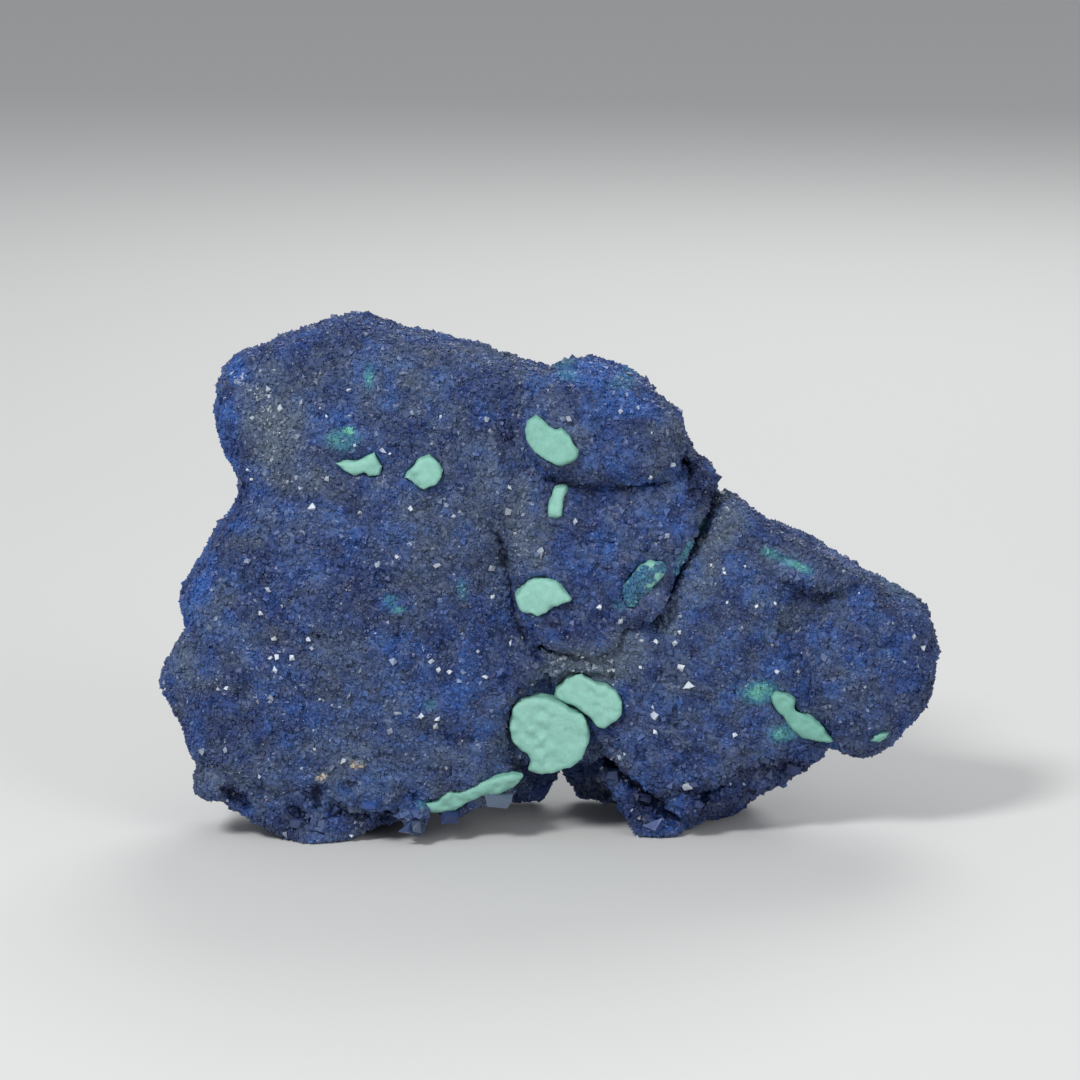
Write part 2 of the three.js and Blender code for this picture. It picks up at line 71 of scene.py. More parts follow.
LOBES = [
    Lobe("body behind the front lobes",
         [[-18.5, 4.6], [-20.5, 11], [-19, 19], [-18, 26], [-12, 29], [-3, 27.5], [4, 26], [8, 20],
          [16, 14.4], [21, 11], [18, 7], [10, 5.4], [3, 6], [-3, 6.5], [-10, 4.6]],
         -1, 5.5, 90, 2.5, 0.12, 0, 0),
    Lobe("upper left",
         [[-18.5, 25], [-18, 29.4], [-15.2, 31.2], [-12.3, 31.9], [-9.4, 31], [-6, 30.4], [-2.8, 29.5],
          [1, 27.8], [2, 22], [-3, 17], [-12, 16], [-17, 18.5]], -3.4, 5.5, 45, 2.2, 0.24, -0.03, 1.2),
    Lobe("upper left end",
         [[-20.7, 23.8], [-21.1, 25.4], [-21, 27.4], [-20.2, 28.9], [-18.2, 30], [-14, 30.6], [-12.6, 25],
          [-13.5, 18.5], [-18.2, 18.6], [-19.3, 20.4], [-19.5, 22.2]],
         -2.2, 4.5, 30, 1.6, 0.16, -0.42, 0.8),
    Lobe("right",
         [[9.7, 21], [13, 19], [15.6, 17.4], [18.5, 14], [18.5, 9], [17, 5], [14.5, 4.2], [11.5, 3.2],
          [8.5, 2.6], [6, 2.4], [4.3, 4], [2.8, 5.6], [1.6, 8], [0.3, 11], [3.6, 12.4], [6.6, 15.4],
          [8.4, 18.6]], -4.6, 4.5, 48, 1.8, 0.13, 0.02, 0.8),
    Lobe("bulb at the right end",
         [[16.2, 14.8], [18, 16.6], [19.7, 16.3], [21.4, 15.2], [23.3, 14], [24.1, 11.8], [23.6, 8.7],
          [21.8, 6.1], [19.6, 5], [17.4, 5.6], [15.8, 8], [14.8, 11], [15, 13.4]],
         -4.9, 4, 19, 2.2, 0.1, 0.06, 0.5),
    Lobe("small knob on the right shoulder",
         [[12.3, 18.8], [13.8, 19.2], [15.6, 18.5], [17.6, 17.5], [19.1, 16.3], [17.5, 15.5], [15, 15.7],
          [12.8, 17]], -4.4, 3, 12, 1.2, 0.3, 0.06, 0.3),
    Lobe("lower left, upper half",
         [[-19.3, 20.7], [-15.5, 22], [-9.4, 22.2], [-5, 21.5], [-3.5, 19.4], [-2.7, 16.6], [-2, 13.2],
          [-2, 9], [-10, 7], [-18, 8.5], [-22, 11], [-22.9, 13.4], [-23.1, 15.3], [-21.4, 18]],
         -5.4, 4.5, 40, 2.4, 0.12, -0.04, 0.8),
    Lobe("lower left, lower half",
         [[-23.7, 11.2], [-24.4, 9.4], [-23.3, 7], [-22.4, 4.6], [-19, 2.9], [-15, 2.6], [-11, 2.9],
          [-7.6, 2.3], [-3.6, 3.2], [-2.6, 5.6], [-2.4, 8], [-0.6, 9.8], [-1.4, 12.3], [-8, 13.4],
          [-17, 13.2], [-22.4, 12.6]], -5.9, 3.5, 42, 1.7, 0.02, -0.05, 0.6),
    Lobe("floor of the left crease",
         [[-3.8, 21], [-1, 22], [0.6, 21], [1, 14], [2, 9.6], [-1, 8.6], [-3, 9.5], [-3.6, 15]],
         -3.95, 3, 40, 0.8, 0, -0.02, 0.4),
    Lobe("ridge beside the right crease",
         [[4.6, 11.2], [6.4, 13.9], [7.6, 16], [9, 18.8], [10.6, 21.4], [13.4, 19.4], [14.4, 16.4],
          [12.8, 12.6], [9.4, 9.4]], -4.45, 0, 40, 0.9, 0.12, 0.07, 1.4),
    Lobe("wedge between the creases",
         [[-2.6, 22.4], [-0.4, 23.4], [5, 23.8], [9, 23.6], [10.2, 22.2], [8.8, 18.8], [7.5, 16.5],
          [6.6, 14.6], [5.5, 13.7], [4.6, 13.3], [4, 12.2], [2.8, 11.7], [1, 11.7], [-0.7, 12.4],
          [-1.8, 14.2], [-2.4, 16.4], [-3.3, 19.4]], -5.18, 2, 60, 1.1, 0.1, 0.01, 0.3),
    Lobe("dark shoulder beside the wedge",
         [[7.4, 24.8], [8.6, 24.3], [9.8, 22.2], [10.5, 21], [9.4, 20.4], [7.8, 21.6]],
         -3.6, 3, 10, 0.9, 0.2, 0.2, 0.3),
    Lobe("knob",
         [[-2, 25], [-1.6, 27.5], [0.6, 29], [2.6, 29.4], [4.8, 28.6], [6.6, 27.4], [8, 26.2],
          [8.4, 24.4], [7.5, 22.9], [5, 22.4], [2, 22.5], [-0.6, 23]],
         -5.6, 3.5, 16, 1.6, 0.16, 0.04, 0.5),
    Lobe("roof of the arch",
         [[-4.2, 4.6], [-3, 8], [0, 10.6], [3.6, 9], [4.4, 5.4], [2.4, 4.5], [-1, 4.4]],
         -3.6, 4.5, 60, 0.8, 0.1, 0, 0.6),
    Lobe("rear wall of the arch, left of the gap",
         [[-9, 5.6], [-8, 1.2], [-4, 0.6], [-0.7, 0.5], [-0.1, 1.6], [0.4, 2.7], [0.6, 5.6]],
         2, 5.6, 30, 0.9, 0, 0, 0.3),
    Lobe("rear wall of the arch, right of the gap",
         [[0.6, 5.6], [0.8, 2.7], [1.4, 1.6], [1.9, 0.5], [5, 0.6], [8, 1.2], [9, 5.6]],
         2, 5.6, 30, 0.9, 0, 0, 0.3),
    Lobe("lip under the left side's lower edge",
         [[-7.3, 3.4], [-6.9, 1.5], [-5.8, 1.4], [-4.4, 2.2], [-2.8, 2.5], [-2.2, 3.6], [-3, 5]],
         -4.9, -0.5, 30, 0.4, 0, 0, 0.3),
    Lobe("left foot",
         [[-21.9, 4.6], [-21.6, 2.6], [-19, 1.3], [-16.8, 0.1], [-14.8, -0.7], [-12.8, -0.2],
          [-10.8, 0.9], [-8.6, 1.5], [-7.2, 3.2], [-12, 4.6], [-18, 5]],
         -5.3, 2.5, 40, 1.1, 0, -0.06, 0.3),
    Lobe("ledge over the left foot",
         [[-14.2, 4.8], [-14.3, 2.9], [-12.2, 2.2], [-10, 2.1], [-9.2, 2.8], [-9.6, 4.4], [-12, 5.2]],
         -6.1, -2, 12, 0.7, -0.05, -0.05, 0.4),
    Lobe("corner of the left foot", oval(-20.9, 3.6, 1.5, 1.3), -5.2, -1, 5, 0.9, 0, -0.1, 0.2),
    Lobe("block at the arch's left side",
         [[-9.5, 2.6], [-9, 0.9], [-8, 0.7], [-7.5, 2.6]], -5.9, -2, 9, 0.4, 0, 0.1, 0.2),
    Lobe("right foot",
         [[3.1, 4.4], [4, 2], [5.2, 0.2], [7.2, -0.6], [9.4, 0.4], [11.8, 1.5], [14.4, 2.7], [16.9, 4.5],
          [15.4, 7], [9, 5]], -3, 2.5, 40, 1, 0, 0.06, 0.3),
    Lobe("rear left foot", oval(-12.5, 3.4, 5, 4), -1, 6.6, 14, 2, 0, 0, 0.8),
    Lobe("rear right foot", oval(9.5, 3.6, 4.4, 4.2), -1, 6.4, 14, 2, 0, 0, 0.8),
    Lobe("back, left", oval(-13, 13, 8.2, 7.2), 0, 8.4, 16, 3, 0.05, 0, 0.8),
    Lobe("back, top", oval(-9, 23.5, 7.5, 6), 0, 7.8, 15, 2.6, 0.15, 0.03, 0.8),
    Lobe("back, right", oval(12, 11, 8.6, 5.4), 0, 7.2, 18, 2.4, 0.05, -0.04, 0.8),
    Lobe("back, middle", oval(2, 18.5, 6.5, 6.2), 0, 7.6, 13, 2.4, 0.1, 0, 0.8),
]

# Smaller lumps on those lobes, with upright faces.
LUMPS = [
    Lobe("wedge's left toe", oval(1, 13.6, 2.4, 1.7), -5.62, -2, 5, 0.8),
    Lobe("wedge's right toe", oval(6, 15.3, 1.4, 1.5), -5.5, -2, 4, 0.7),
    Lobe("beside the toes", oval(5.2, 12.7, 1.5, 1.3), -4.95, -2, 7, 0.9),
    Lobe("floor under the wedge",
         [[-0.4, 12.2], [1.6, 12.4], [4, 12.6], [5.4, 12.6], [4.8, 11], [3.6, 10.3], [1.5, 10.7], [0, 10.3]],
         -4.8, -1, 30, 0.5),
    Lobe("floor beside the wedge's foot",
         [[-2.4, 13.2], [-0.9, 12.8], [0.1, 11.8], [0.3, 10.4], [-1, 10], [-2.2, 11]], -4.7, -1, 30, 0.5),
    Lobe("left foot's lump", oval(-14.6, 0.8, 1.5, 1), -5.6, -2.5, 5, 0.5),
    Lobe("under the left ledge",
         [[-14, 2.8], [-13.6, 0.5], [-11.9, 0.5], [-9.8, 1], [-8.8, 1.6], [-9, 2.8]], -4.4, -1, 30, 0.4),
    Lobe("right foot's toe", oval(6.6, 0.6, 1.7, 1.1), -4.2, -1, 5, 0.4),
    Lobe("right foot's front", oval(8, 2.2, 1.2, 0.9), -4.7, -2, 5, 0.4),
    Lobe("under the right edge",
         [[9, 1.4], [10.4, 1.6], [12.2, 2.2], [13.2, 3], [14.8, 3.6], [15.6, 4.8], [13.6, 4.9], [12, 3.8],
          [10, 3]], -3.9, -1, 30, 0.5),
]

# Cracks and creases: a line in X and Z, how deep it cuts and how wide it is.
Crack = namedtuple("Crack", "name line depth width")
CRACKS = [
    Crack("left crease",
          [[-3.9, 20], [-3, 18.8], [-2.6, 16.8], [-2.1, 13.7], [-1.3, 12.2], [-0.4, 11.1], [-0.2, 9.8]],
          0.45, 0.2),
    Crack("right crease", [[10.2, 21.2], [9.4, 19.4], [7.9, 16.9], [7.2, 15.4], [6.1, 13.8]], 0.45, 0.18),
    Crack("between the wedge's toes", [[4, 12.8], [4.5, 14], [4.2, 15.4]], 0.2, 0.35),
    Crack("under the wedge", [[3.6, 12], [1.6, 11.8], [-0.6, 12.3]], 0.3, 0.16),
    Crack("under the knob", [[-0.4, 22.8], [0.5, 22.6], [3.5, 22.4], [5.9, 22.5], [7.2, 22.6]], 0.4, 0.15),
    Crack("beside the shoulder", [[8.2, 23.6], [8.8, 22.2], [10, 21.2]], 0.7, 0.35),
    Crack("in the left lobe", [[-9.2, 14.6], [-9.5, 13.4], [-9.3, 12.4]], 0.3, 0.2),
    Crack("beside the bulb", [[14.9, 14.5], [14.6, 12.6], [15, 10.6]], 0.25, 0.5),
    Crack("below the small knob", [[14.4, 16.4], [15.6, 16], [16.9, 16.1]], 0.25, 0.25),
    Crack("under the left ledge", [[-13.6, 1.9], [-12, 1.7], [-9.9, 1.8]], 0.5, 0.4),
    Crack("beside the left ledge", [[-14.6, 3.4], [-14.5, 2.2]], 0.6, 0.25),
    Crack("above the lump", [[-16, 2], [-15.2, 1.4]], 0.6, 0.35),
    Crack("beside the corner", [[-20.2, 3.3], [-19.5, 2.7], [-19, 2.2]], 0.8, 0.35),
    Crack("under the right lobe", [[3.4, 4.8], [4.4, 3.9], [5.6, 2.9], [6.8, 1.7], [7.4, 1.2]], 0.9, 0.45),
    Crack("over the right edge", [[9.2, 2.7], [11.6, 4], [14, 4.9], [16, 5.9]], 0.3, 0.35),
]

# ---------------------------------------------------------------------------
# Where the malachite growths are, from the CAD model.

GROWTH_NAMES = sorted(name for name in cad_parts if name.startswith("malachite"))
GROWTH_BOXES = [[np.array(corner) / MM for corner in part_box(name)] for name in GROWTH_NAMES]
SOCKET_GAP = -0.03
BACKWARDS = Vector((0.02, 1, 0.01)).normalized()


def growth_tree():
    """A search tree over all the malachite growths' CAD meshes, in millimetres."""
    verts, faces = [], []
    for name in GROWTH_NAMES:
        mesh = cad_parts[name].data
        start = len(verts)
        verts += [v.co / MM for v in mesh.vertices]
        faces += [[start + i for i in p.vertices] for p in mesh.polygons]
    return BVHTree.FromPolygons(verts, faces)


GROWTHS = growth_tree()


def inside_growth(point):
    """Whether a line from the point towards the back leaves a growth more often than it enters one."""
    crossings = 0
    place = Vector(point)
    while place is not None:
        place = GROWTHS.ray_cast(place, BACKWARDS)[0]
        if place is not None:
            crossings += 1
            place = place + 0.001 * BACKWARDS
    return crossings % 2 == 1


def growth_distance(points):
    """Distance from each point to the nearest growth, negative inside one."""
    distances = np.array([GROWTHS.find_nearest(point)[3] for point in points])
    near = np.zeros(len(points), bool)
    for low, high in GROWTH_BOXES:
        near |= ((points > low) & (points < high)).all(1)
    for n in np.flatnonzero(near):
        if inside_growth(points[n]):
            distances[n] = -distances[n]
    return distances


# ---------------------------------------------------------------------------
# The azurite's field: negative inside, about the distance in millimetres.

CURVE_STEPS = 4
CELL = 0.24
GRID_LOW = np.array([-26.0, -8.6, -1.0])
GRID_HIGH = np.array([26.0, 10.4, 33.6])
SOLE = 0.02


def closed_curve(points, steps):
    """A closed Catmull-Rom curve through the points."""
    p1 = np.asarray(points, float)
    p0, p2, p3 = np.roll(p1, 1, 0), np.roll(p1, -1, 0), np.roll(p1, -2, 0)
    pieces = []
    for t in np.arange(steps) / steps:
        pull = (p2 - p0) * t + (2 * p0 - 5 * p1 + 4 * p2 - p3) * t**2 + (3 * p1 - p0 - 3 * p2 + p3) * t**3
        pieces.append(p1 + 0.5 * pull)
    return np.stack(pieces, 1).reshape(-1, 2)


def segment_distance(points, a, b):
    """Distance from each point to the segment from a to b."""
    edge = b - a
    along = np.clip(((points - a) @ edge) / (edge @ edge), 0, 1)
    return np.linalg.norm(points - a - along[:, None] * edge, axis=1)


def line_distance(points, line):
    line = np.asarray(line, float)
    return np.min([segment_distance(points, a, b) for a, b in zip(line[:-1], line[1:])], axis=0)


def polygon_distance(points, polygon):
    """Signed distance from each point to a closed polygon, negative inside."""
    nearest = np.full(len(points), np.inf)
    inside = np.zeros(len(points), bool)
    x, z = points.T
    for a, b in zip(polygon, np.roll(polygon, -1, 0)):
        nearest = np.minimum(nearest, segment_distance(points, a, b))
        if a[1] != b[1]:
            crosses = (a[1] > z) != (b[1] > z)
            inside ^= crosses & (x < a[0] + (z - a[1]) / (b[1] - a[1]) * (b[0] - a[0]))
    return np.where(inside, -nearest, nearest)


def smooth_min(a, b, width):
    if width <= 0:
        return np.minimum(a, b)
    share = np.maximum(width - np.abs(a - b), 0) / width
    return np.minimum(a, b) - share * share * width / 4


def azurite_field(xs, ys, zs):
    """The field on a grid, with one axis each for X, Y and Z."""
    flat = np.stack(np.meshgrid(xs, zs, indexing="ij"), -1).reshape(-1, 2)
    y = ys[None, :, None]
    field = np.full((len(xs), len(ys), len(zs)), np.inf, np.float32)
    for lobe in LOBES + LUMPS:
        dx, dz = (flat - np.mean(lobe.outline, axis=0)).T
        slope = lobe.lean * dz + lobe.yaw * dx
        sag = (dx * dx + dz * dz) / (2 * lobe.dome)
        across = polygon_distance(flat, closed_curve(lobe.outline, CURVE_STEPS)) + lobe.rim
        front = (lobe.front + slope + sag).reshape(len(xs), 1, len(zs))
        back = (lobe.back + slope - sag).reshape(len(xs), 1, len(zs))
        through = np.maximum(front - y, y - back).astype(np.float32) + lobe.rim
        across = across.reshape(len(xs), 1, len(zs)).astype(np.float32)
        pillow = np.minimum(np.maximum(across, through), 0) - lobe.rim
        pillow += np.hypot(np.maximum(across, 0), np.maximum(through, 0))
        field = smooth_min(field, pillow, lobe.blend)
    return field + crack_depth(flat).reshape(len(xs), 1, len(zs)) * (y < 0)


def crack_depth(flat, widest=math.inf):
    """How deep the cracks up to the widest cut at points in X and Z."""
    depth = np.zeros(len(flat))
    for crack in (crack for crack in CRACKS if crack.width <= widest):
        reach = line_distance(flat, crack.line) / crack.width
        depth = np.maximum(depth, crack.depth * np.exp(-(reach**2)))
    return depth


def cut_sockets(field, axes):
    """Takes each growth out of the azurite, with a slight gap round it."""
    for low, high in GROWTH_BOXES:
        spans = []
        for axis, a, b, move in zip(axes, low, high, (0, MIDDLE_Y, 0)):
            spans.append(np.flatnonzero((axis > a + move - 1) & (axis < b + move + 1)))
        part = np.ix_(*spans)
        grid = np.meshgrid(*[axis[span] for axis, span in zip(axes, spans)], indexing="ij")
        places = np.stack(grid, -1).reshape(-1, 3) - (0, MIDDLE_Y, 0)
        outside = SOCKET_GAP - growth_distance(places).reshape(grid[0].shape)
        field[part] = np.maximum(field[part], outside)


def surface_net(values, low, cell):
    """Quads on the field's zero surface, with a vertex in each cell that it crosses."""
    corners = [(i, j, k) for i in (0, 1) for j in (0, 1) for k in (0, 1)]
    inside = values < 0
    shape = tuple(n - 1 for n in values.shape)
    count = np.zeros(shape, np.int8)
    for i, j, k in corners:
        count += inside[i : i + shape[0], j : j + shape[1], k : k + shape[2]]
    cells = np.argwhere((count > 0) & (count < 8))
    value_at = {c: values[tuple((cells + c).T)].astype(float) for c in corners}
    total = np.zeros((len(cells), 3))
    crossings = np.zeros(len(cells))
    for a in corners:
        for n in range(3):
            if a[n]:
                continue
            b = tuple(v + (m == n) for m, v in enumerate(a))
            va, vb = value_at[a], value_at[b]
            crossed = (va < 0) != (vb < 0)
            share = np.where(crossed, va / np.where(crossed, va - vb, 1), 0)
            point = np.array(a)[None, :] + share[:, None] * (np.arange(3) == n)
            total += point * crossed[:, None]
            crossings += crossed
    verts = low + (cells + total / crossings[:, None]) * cell
    index = np.full(shape, -1, np.int64)
    index[tuple(cells.T)] = np.arange(len(cells))
    quads = []
    for n in range(3):
        u, w = (n + 1) % 3, (n + 2) % 3
        low_side = [slice(1, -1)] * 3
        low_side[n] = slice(0, -1)
        high_side = list(low_side)
        high_side[n] = slice(1, None)
        here, there = inside[tuple(low_side)], inside[tuple(high_side)]
        start = np.array([0 if m == n else 1 for m in range(3)])
        for flip in (False, True):
            edges = np.argwhere(here & ~there if not flip else ~here & there) + start
            step_u, step_w = np.eye(3, dtype=int)[u], np.eye(3, dtype=int)[w]
            ring = [edges - step_u - step_w, edges - step_w, edges, edges - step_u]
            ring = [index[tuple(cell_at.T)] for cell_at in ring]
            quads.append(np.stack(ring[::-1] if flip else ring, 1))
    return verts, np.concatenate(quads)


# ---------------------------------------------------------------------------
# Noise and mesh helpers.

LATTICE = 32


def noise(points, size, seed):
    """Smooth noise between -1 and 1, with lumps about size across."""
    lattice = np.random.default_rng(seed).uniform(-1, 1, (LATTICE,) * 3)
    place = np.asarray(points) / size
    whole = np.floor(place).astype(int)
    part = place - whole
    part = part * part * (3 - 2 * part)
    total = np.zeros(len(place))
    for i in (0, 1):
        for j in (0, 1):
            for k in (0, 1):
                weight = np.ones(len(place))
                for n, corner in enumerate((i, j, k)):
                    weight = weight * (part[:, n] if corner else 1 - part[:, n])
                at = (whole + (i, j, k)) % LATTICE
                total += weight * lattice[tuple(at.T)]
    return total


def layered(points, layers):
    """The sum of noises, each with its size, height and seed."""
    return sum(height * noise(points, size, seed) for size, height, seed in layers)


def ramp(values, low, high):
    """0 below low, 1 above high, smooth between."""
    share = np.clip((values - low) / (high - low), 0, 1)
    return share * share * (3 - 2 * share)


def unit(vectors):
    return vectors / np.maximum(np.linalg.norm(vectors, axis=1, keepdims=True), 1e-12)


def vertex_normals(verts, quads):
    face = np.cross(verts[quads[:, 2]] - verts[quads[:, 0]], verts[quads[:, 3]] - verts[quads[:, 1]])
    total = np.zeros_like(verts)
    for n in range(4):
        np.add.at(total, quads[:, n], face)
    return unit(total)


BAKE_MAP = "OFBake"


def make_piece(name, verts, faces, minerals, stuff, smooth=False, layout=None):
    """A mesh object from vertices in millimetres, and faces as a list of index arrays with one width each.

    layout is a place for each face corner on the map that the piece's colours are baked to.
    """
    mesh = bpy.data.meshes.new(name)
    loops = np.concatenate([f.ravel() for f in faces])
    widths = np.concatenate([np.full(len(f), f.shape[1]) for f in faces])
    mesh.vertices.add(len(verts))
    mesh.vertices.foreach_set("co", (np.asarray(verts) * MM).ravel().astype(np.float32))
    mesh.loops.add(len(loops))
    mesh.loops.foreach_set("vertex_index", loops.astype(np.int32))
    mesh.polygons.add(len(widths))
    mesh.polygons.foreach_set("loop_start", np.concatenate([[0], np.cumsum(widths)[:-1]]).astype(np.int32))
    mesh.polygons.foreach_set("use_smooth", np.full(len(widths), smooth))
    made = mesh.attributes.new(MINERAL, "FLOAT_COLOR", "POINT")
    made.data.foreach_set("color", minerals.astype(np.float32).ravel())
    if layout is not None:
        bake_map = mesh.uv_layers.new(name=BAKE_MAP)
        bake_map.uv.foreach_set("vector", layout.astype(np.float32).ravel())
    mesh.update(calc_edges=True)
    mesh.materials.append(MATERIALS[stuff])
    piece = bpy.data.objects.new(name, mesh)
    bpy.context.scene.collection.objects.link(piece)
    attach(piece, BODY)
    return piece


# ---------------------------------------------------------------------------
# Materials. The mesh attribute named MINERAL holds four amounts at each point: its own tone, which also
# carries painted highlight and painted shade; grey dust, which in places is painted light; malachite film;
# and how pale and glassy the crystal is, which paints glints.

MINERAL = "mineral"


class Nodes:
    """A material's node tree, with short calls for the nodes that it is made of."""

    def __init__(self, name):
        self.material = bpy.data.materials.new(name)
        self.material.use_nodes = True
        self.tree = self.material.node_tree
        self.shader = self.tree.nodes["Principled BSDF"]

    def link(self, source, target):
        self.tree.links.new(source, target)

    def amounts(self):
        source = self.tree.nodes.new("ShaderNodeAttribute")
        source.attribute_name = MINERAL
        split = self.tree.nodes.new("ShaderNodeSeparateColor")
        self.link(source.outputs["Color"], split.inputs["Color"])
        return [split.outputs["Red"], split.outputs["Green"], split.outputs["Blue"], source.outputs["Alpha"]]

    def noise(self, size, detail=2.0, roughness=0.5):
        """Noise with lumps about size metres across."""
        place = self.tree.nodes.new("ShaderNodeTexCoord")
        made = self.tree.nodes.new("ShaderNodeTexNoise")
        made.inputs["Scale"].default_value = 1 / size
        made.inputs["Detail"].default_value = detail
        made.inputs["Roughness"].default_value = roughness
        self.link(place.outputs["Object"], made.inputs["Vector"])
        return made.outputs["Fac"]

    def ramp(self, source, stops):
        made = self.tree.nodes.new("ShaderNodeValToRGB")
        elements = made.color_ramp.elements
        while len(elements) < len(stops):
            elements.new(0.5)
        for element, (place, colour) in zip(elements, stops):
            element.position = place
            element.color = (*colour, 1)
        self.link(source, made.inputs["Fac"])
        return made.outputs["Color"]

    def mix(self, share, a, b, blend="MIX"):
        made = self.tree.nodes.new("ShaderNodeMix")
        made.data_type = "RGBA"
        made.blend_type = blend
        for socket, value in ((made.inputs["Factor"], share), (made.inputs["A"], a), (made.inputs["B"], b)):
            self.feed(value, socket)
        return made.outputs["Result"]

    def feed(self, value, socket):
        if isinstance(value, bpy.types.NodeSocket):
            self.link(value, socket)
        elif isinstance(value, tuple):
            socket.default_value = (*value, 1)
        else:
            socket.default_value = value

    def between(self, source, from_low, from_high, to_low, to_high):
        made = self.tree.nodes.new("ShaderNodeMapRange")
        made.inputs["From Min"].default_value = from_low
        made.inputs["From Max"].default_value = from_high
        made.inputs["To Min"].default_value = to_low
        made.inputs["To Max"].default_value = to_high
        self.link(source, made.inputs["Value"])
        return made.outputs["Result"]

    def bump(self, source, height, strength=1.0):
        made = self.tree.nodes.new("ShaderNodeBump")
        made.inputs["Strength"].default_value = strength
        made.inputs["Distance"].default_value = height
        self.link(source, made.inputs["Height"])
        self.link(made.outputs["Normal"], self.shader.inputs["Normal"])


BLUE_DEEP = (0.006, 0.011, 0.040)
BLUE_MAIN = (0.018, 0.043, 0.160)
BLUE_BRIGHT = (0.032, 0.125, 0.420)
GREY_OF_DUST_AND_LIGHT = (0.105, 0.140, 0.185)
BEIGE_DUST = (0.420, 0.360, 0.300)
FILM_THIN = (0.045, 0.230, 0.300)
FILM_THICK = (0.130, 0.420, 0.340)
PAINTED_GLINT_WHITE = (0.700, 0.760, 0.820)
MOST_GREY = 0.84  # dust and painted light above this amount turn beige


def azurite_material():
    nodes = Nodes("azurite")
    tone, dust_and_light, film, painted_glint = nodes.amounts()
    stops = [(0.0, BLUE_DEEP), (0.45, BLUE_MAIN), (1.0, BLUE_BRIGHT)]
    grain = nodes.ramp(nodes.mix(0.25, tone, nodes.noise(0.0004, 3.0)), stops)
    greyed_by_dust_and_light = nodes.mix(dust_and_light, grain, nodes.ramp(dust_and_light, [(MOST_GREY, GREY_OF_DUST_AND_LIGHT), (1.0, BEIGE_DUST)]))
    filmed = nodes.mix(film, greyed_by_dust_and_light, nodes.ramp(film, [(0.6, FILM_THIN), (0.95, FILM_THICK)]))
    nodes.link(nodes.mix(painted_glint, filmed, PAINTED_GLINT_WHITE), nodes.shader.inputs["Base Color"])
    nodes.link(nodes.between(nodes.noise(0.0007), 0.3, 0.7, 0.34, 0.65), nodes.shader.inputs["Roughness"])
    nodes.shader.inputs["IOR"].default_value = 1.5
    nodes.bump(nodes.noise(0.00012, 2.0), 0.00003, 0.5)
    return nodes.material


MALACHITE_DEEP = (0.080, 0.280, 0.220)
MALACHITE_WORN = (0.035, 0.130, 0.230)
MALACHITE_MAIN = (0.190, 0.440, 0.360)
MALACHITE_PALE = (0.285, 0.525, 0.455)


def malachite_material():
    nodes = Nodes("malachite")
    tone, rim, worn, _ = nodes.amounts()
    mottle = nodes.mix(0.5, nodes.noise(0.0006, 4.0), nodes.noise(0.00018, 3.0))
    stops = [(0.3, MALACHITE_MAIN), (0.7, MALACHITE_PALE)]
    face = nodes.ramp(mottle, stops)
    green = nodes.mix(tone, face, MALACHITE_DEEP)
    # The edges that turn from the front are painted deep green: painted shade on the rounded edges.
    edge_shaded = nodes.mix(rim, green, MALACHITE_DEEP)
    nodes.link(nodes.mix(worn, edge_shaded, MALACHITE_WORN), nodes.shader.inputs["Base Color"])
    nodes.link(nodes.between(mottle, 0.3, 0.7, 0.68, 0.9), nodes.shader.inputs["Roughness"])
    nodes.bump(nodes.noise(0.00016, 4.0, 0.6), 0.00005, 0.6)
    return nodes.material


# ---------------------------------------------------------------------------
# Where the azurite's colour changes, in X and Z: each patch is an oval with a soft edge and a strength.

# Grey dust, and in places painted light: the lit recess under the wedge, the lit strips beside the creases
# and the lit upper left face are lightened and greyed the same way.
DUST_AND_LIT_FACES = [
    (2.2, 11.0, 3.2, 1.6, 1.5),  # the recess under the wedge: grey dust, with painted light where the recess catches the light
    (4.6, 12.2, 1.6, 1.6, 0.8),
    (10.6, 20.4, 2.0, 2.4, 0.7),  # the strip beside the right crease: painted light on its lit edge, with grey dust
    (9.2, 17.6, 1.4, 2.4, 0.6),
    (7.2, 14.2, 1.0, 1.6, 0.5),
    (-1.6, 19.4, 1.6, 2.6, 0.75),  # the wedge's left side: painted light on the lit strip beside the left crease, with grey dust
    (-0.9, 17.7, 0.9, 0.8, 0.7),
    (-2.6, 22.6, 2.0, 1.6, 0.4),
    (-17.2, 26.4, 2.0, 3.2, 0.7),  # the upper left face: grey dust, with painted light on the lit side face
    (-17.4, 29.0, 1.2, 1.2, 0.5),
    (-15.0, 22.6, 3.0, 1.0, 0.5),
    (-22.6, 11.0, 1.2, 2.4, 0.4),
    (-13, 5, 8.0, 3.0, 0.25),
    (4, 4.5, 1.4, 1.4, 0.5),
    (-3.2, 2.6, 1.5, 0.9, 0.8),  # the plate under the streak
    (-7, 5, 2.0, 2.4, 0.3),
]
# Painted highlight: a lighter, brighter blue tone where light falls on the rims, the knob's top, the upper
# left edge and the tops of ledges and blocks.
PAINTED_HIGHLIGHT_PATCHES = [
    (-20.3, 20.0, 1.2, 1.8, 0.7),  # the left rim
    (-21.6, 17.0, 1.2, 2.2, 0.9),
    (-22.8, 14.2, 1.2, 2.2, 0.8),
    (-20.3, 25.0, 1.2, 3.4, 1.0),  # the upper left edge
    (-19.7, 28.7, 0.9, 0.8, 1.4),
    (3.0, 29.2, 3.8, 0.9, 1.2),  # the knob's top
    (5.0, 27.8, 2.8, 1.3, 0.6),
    (-11.9, 3.8, 2.4, 0.9, 0.6),  # the left ledge
    (2.6, 18.6, 2.2, 2.4, 0.25),
    (13.0, 15.0, 2.4, 1.6, 0.2),
    (14.0, 12.0, 3.4, 3.4, 0.2),
    (-9.0, 13.0, 2.4, 3.6, 0.25),
    (-5.6, 10.4, 1.4, 1.2, 0.4),
    (-8.6, 2.6, 0.7, 1.2, 0.5),
    (-14.4, 0.8, 1.6, 0.9, 0.4),
]
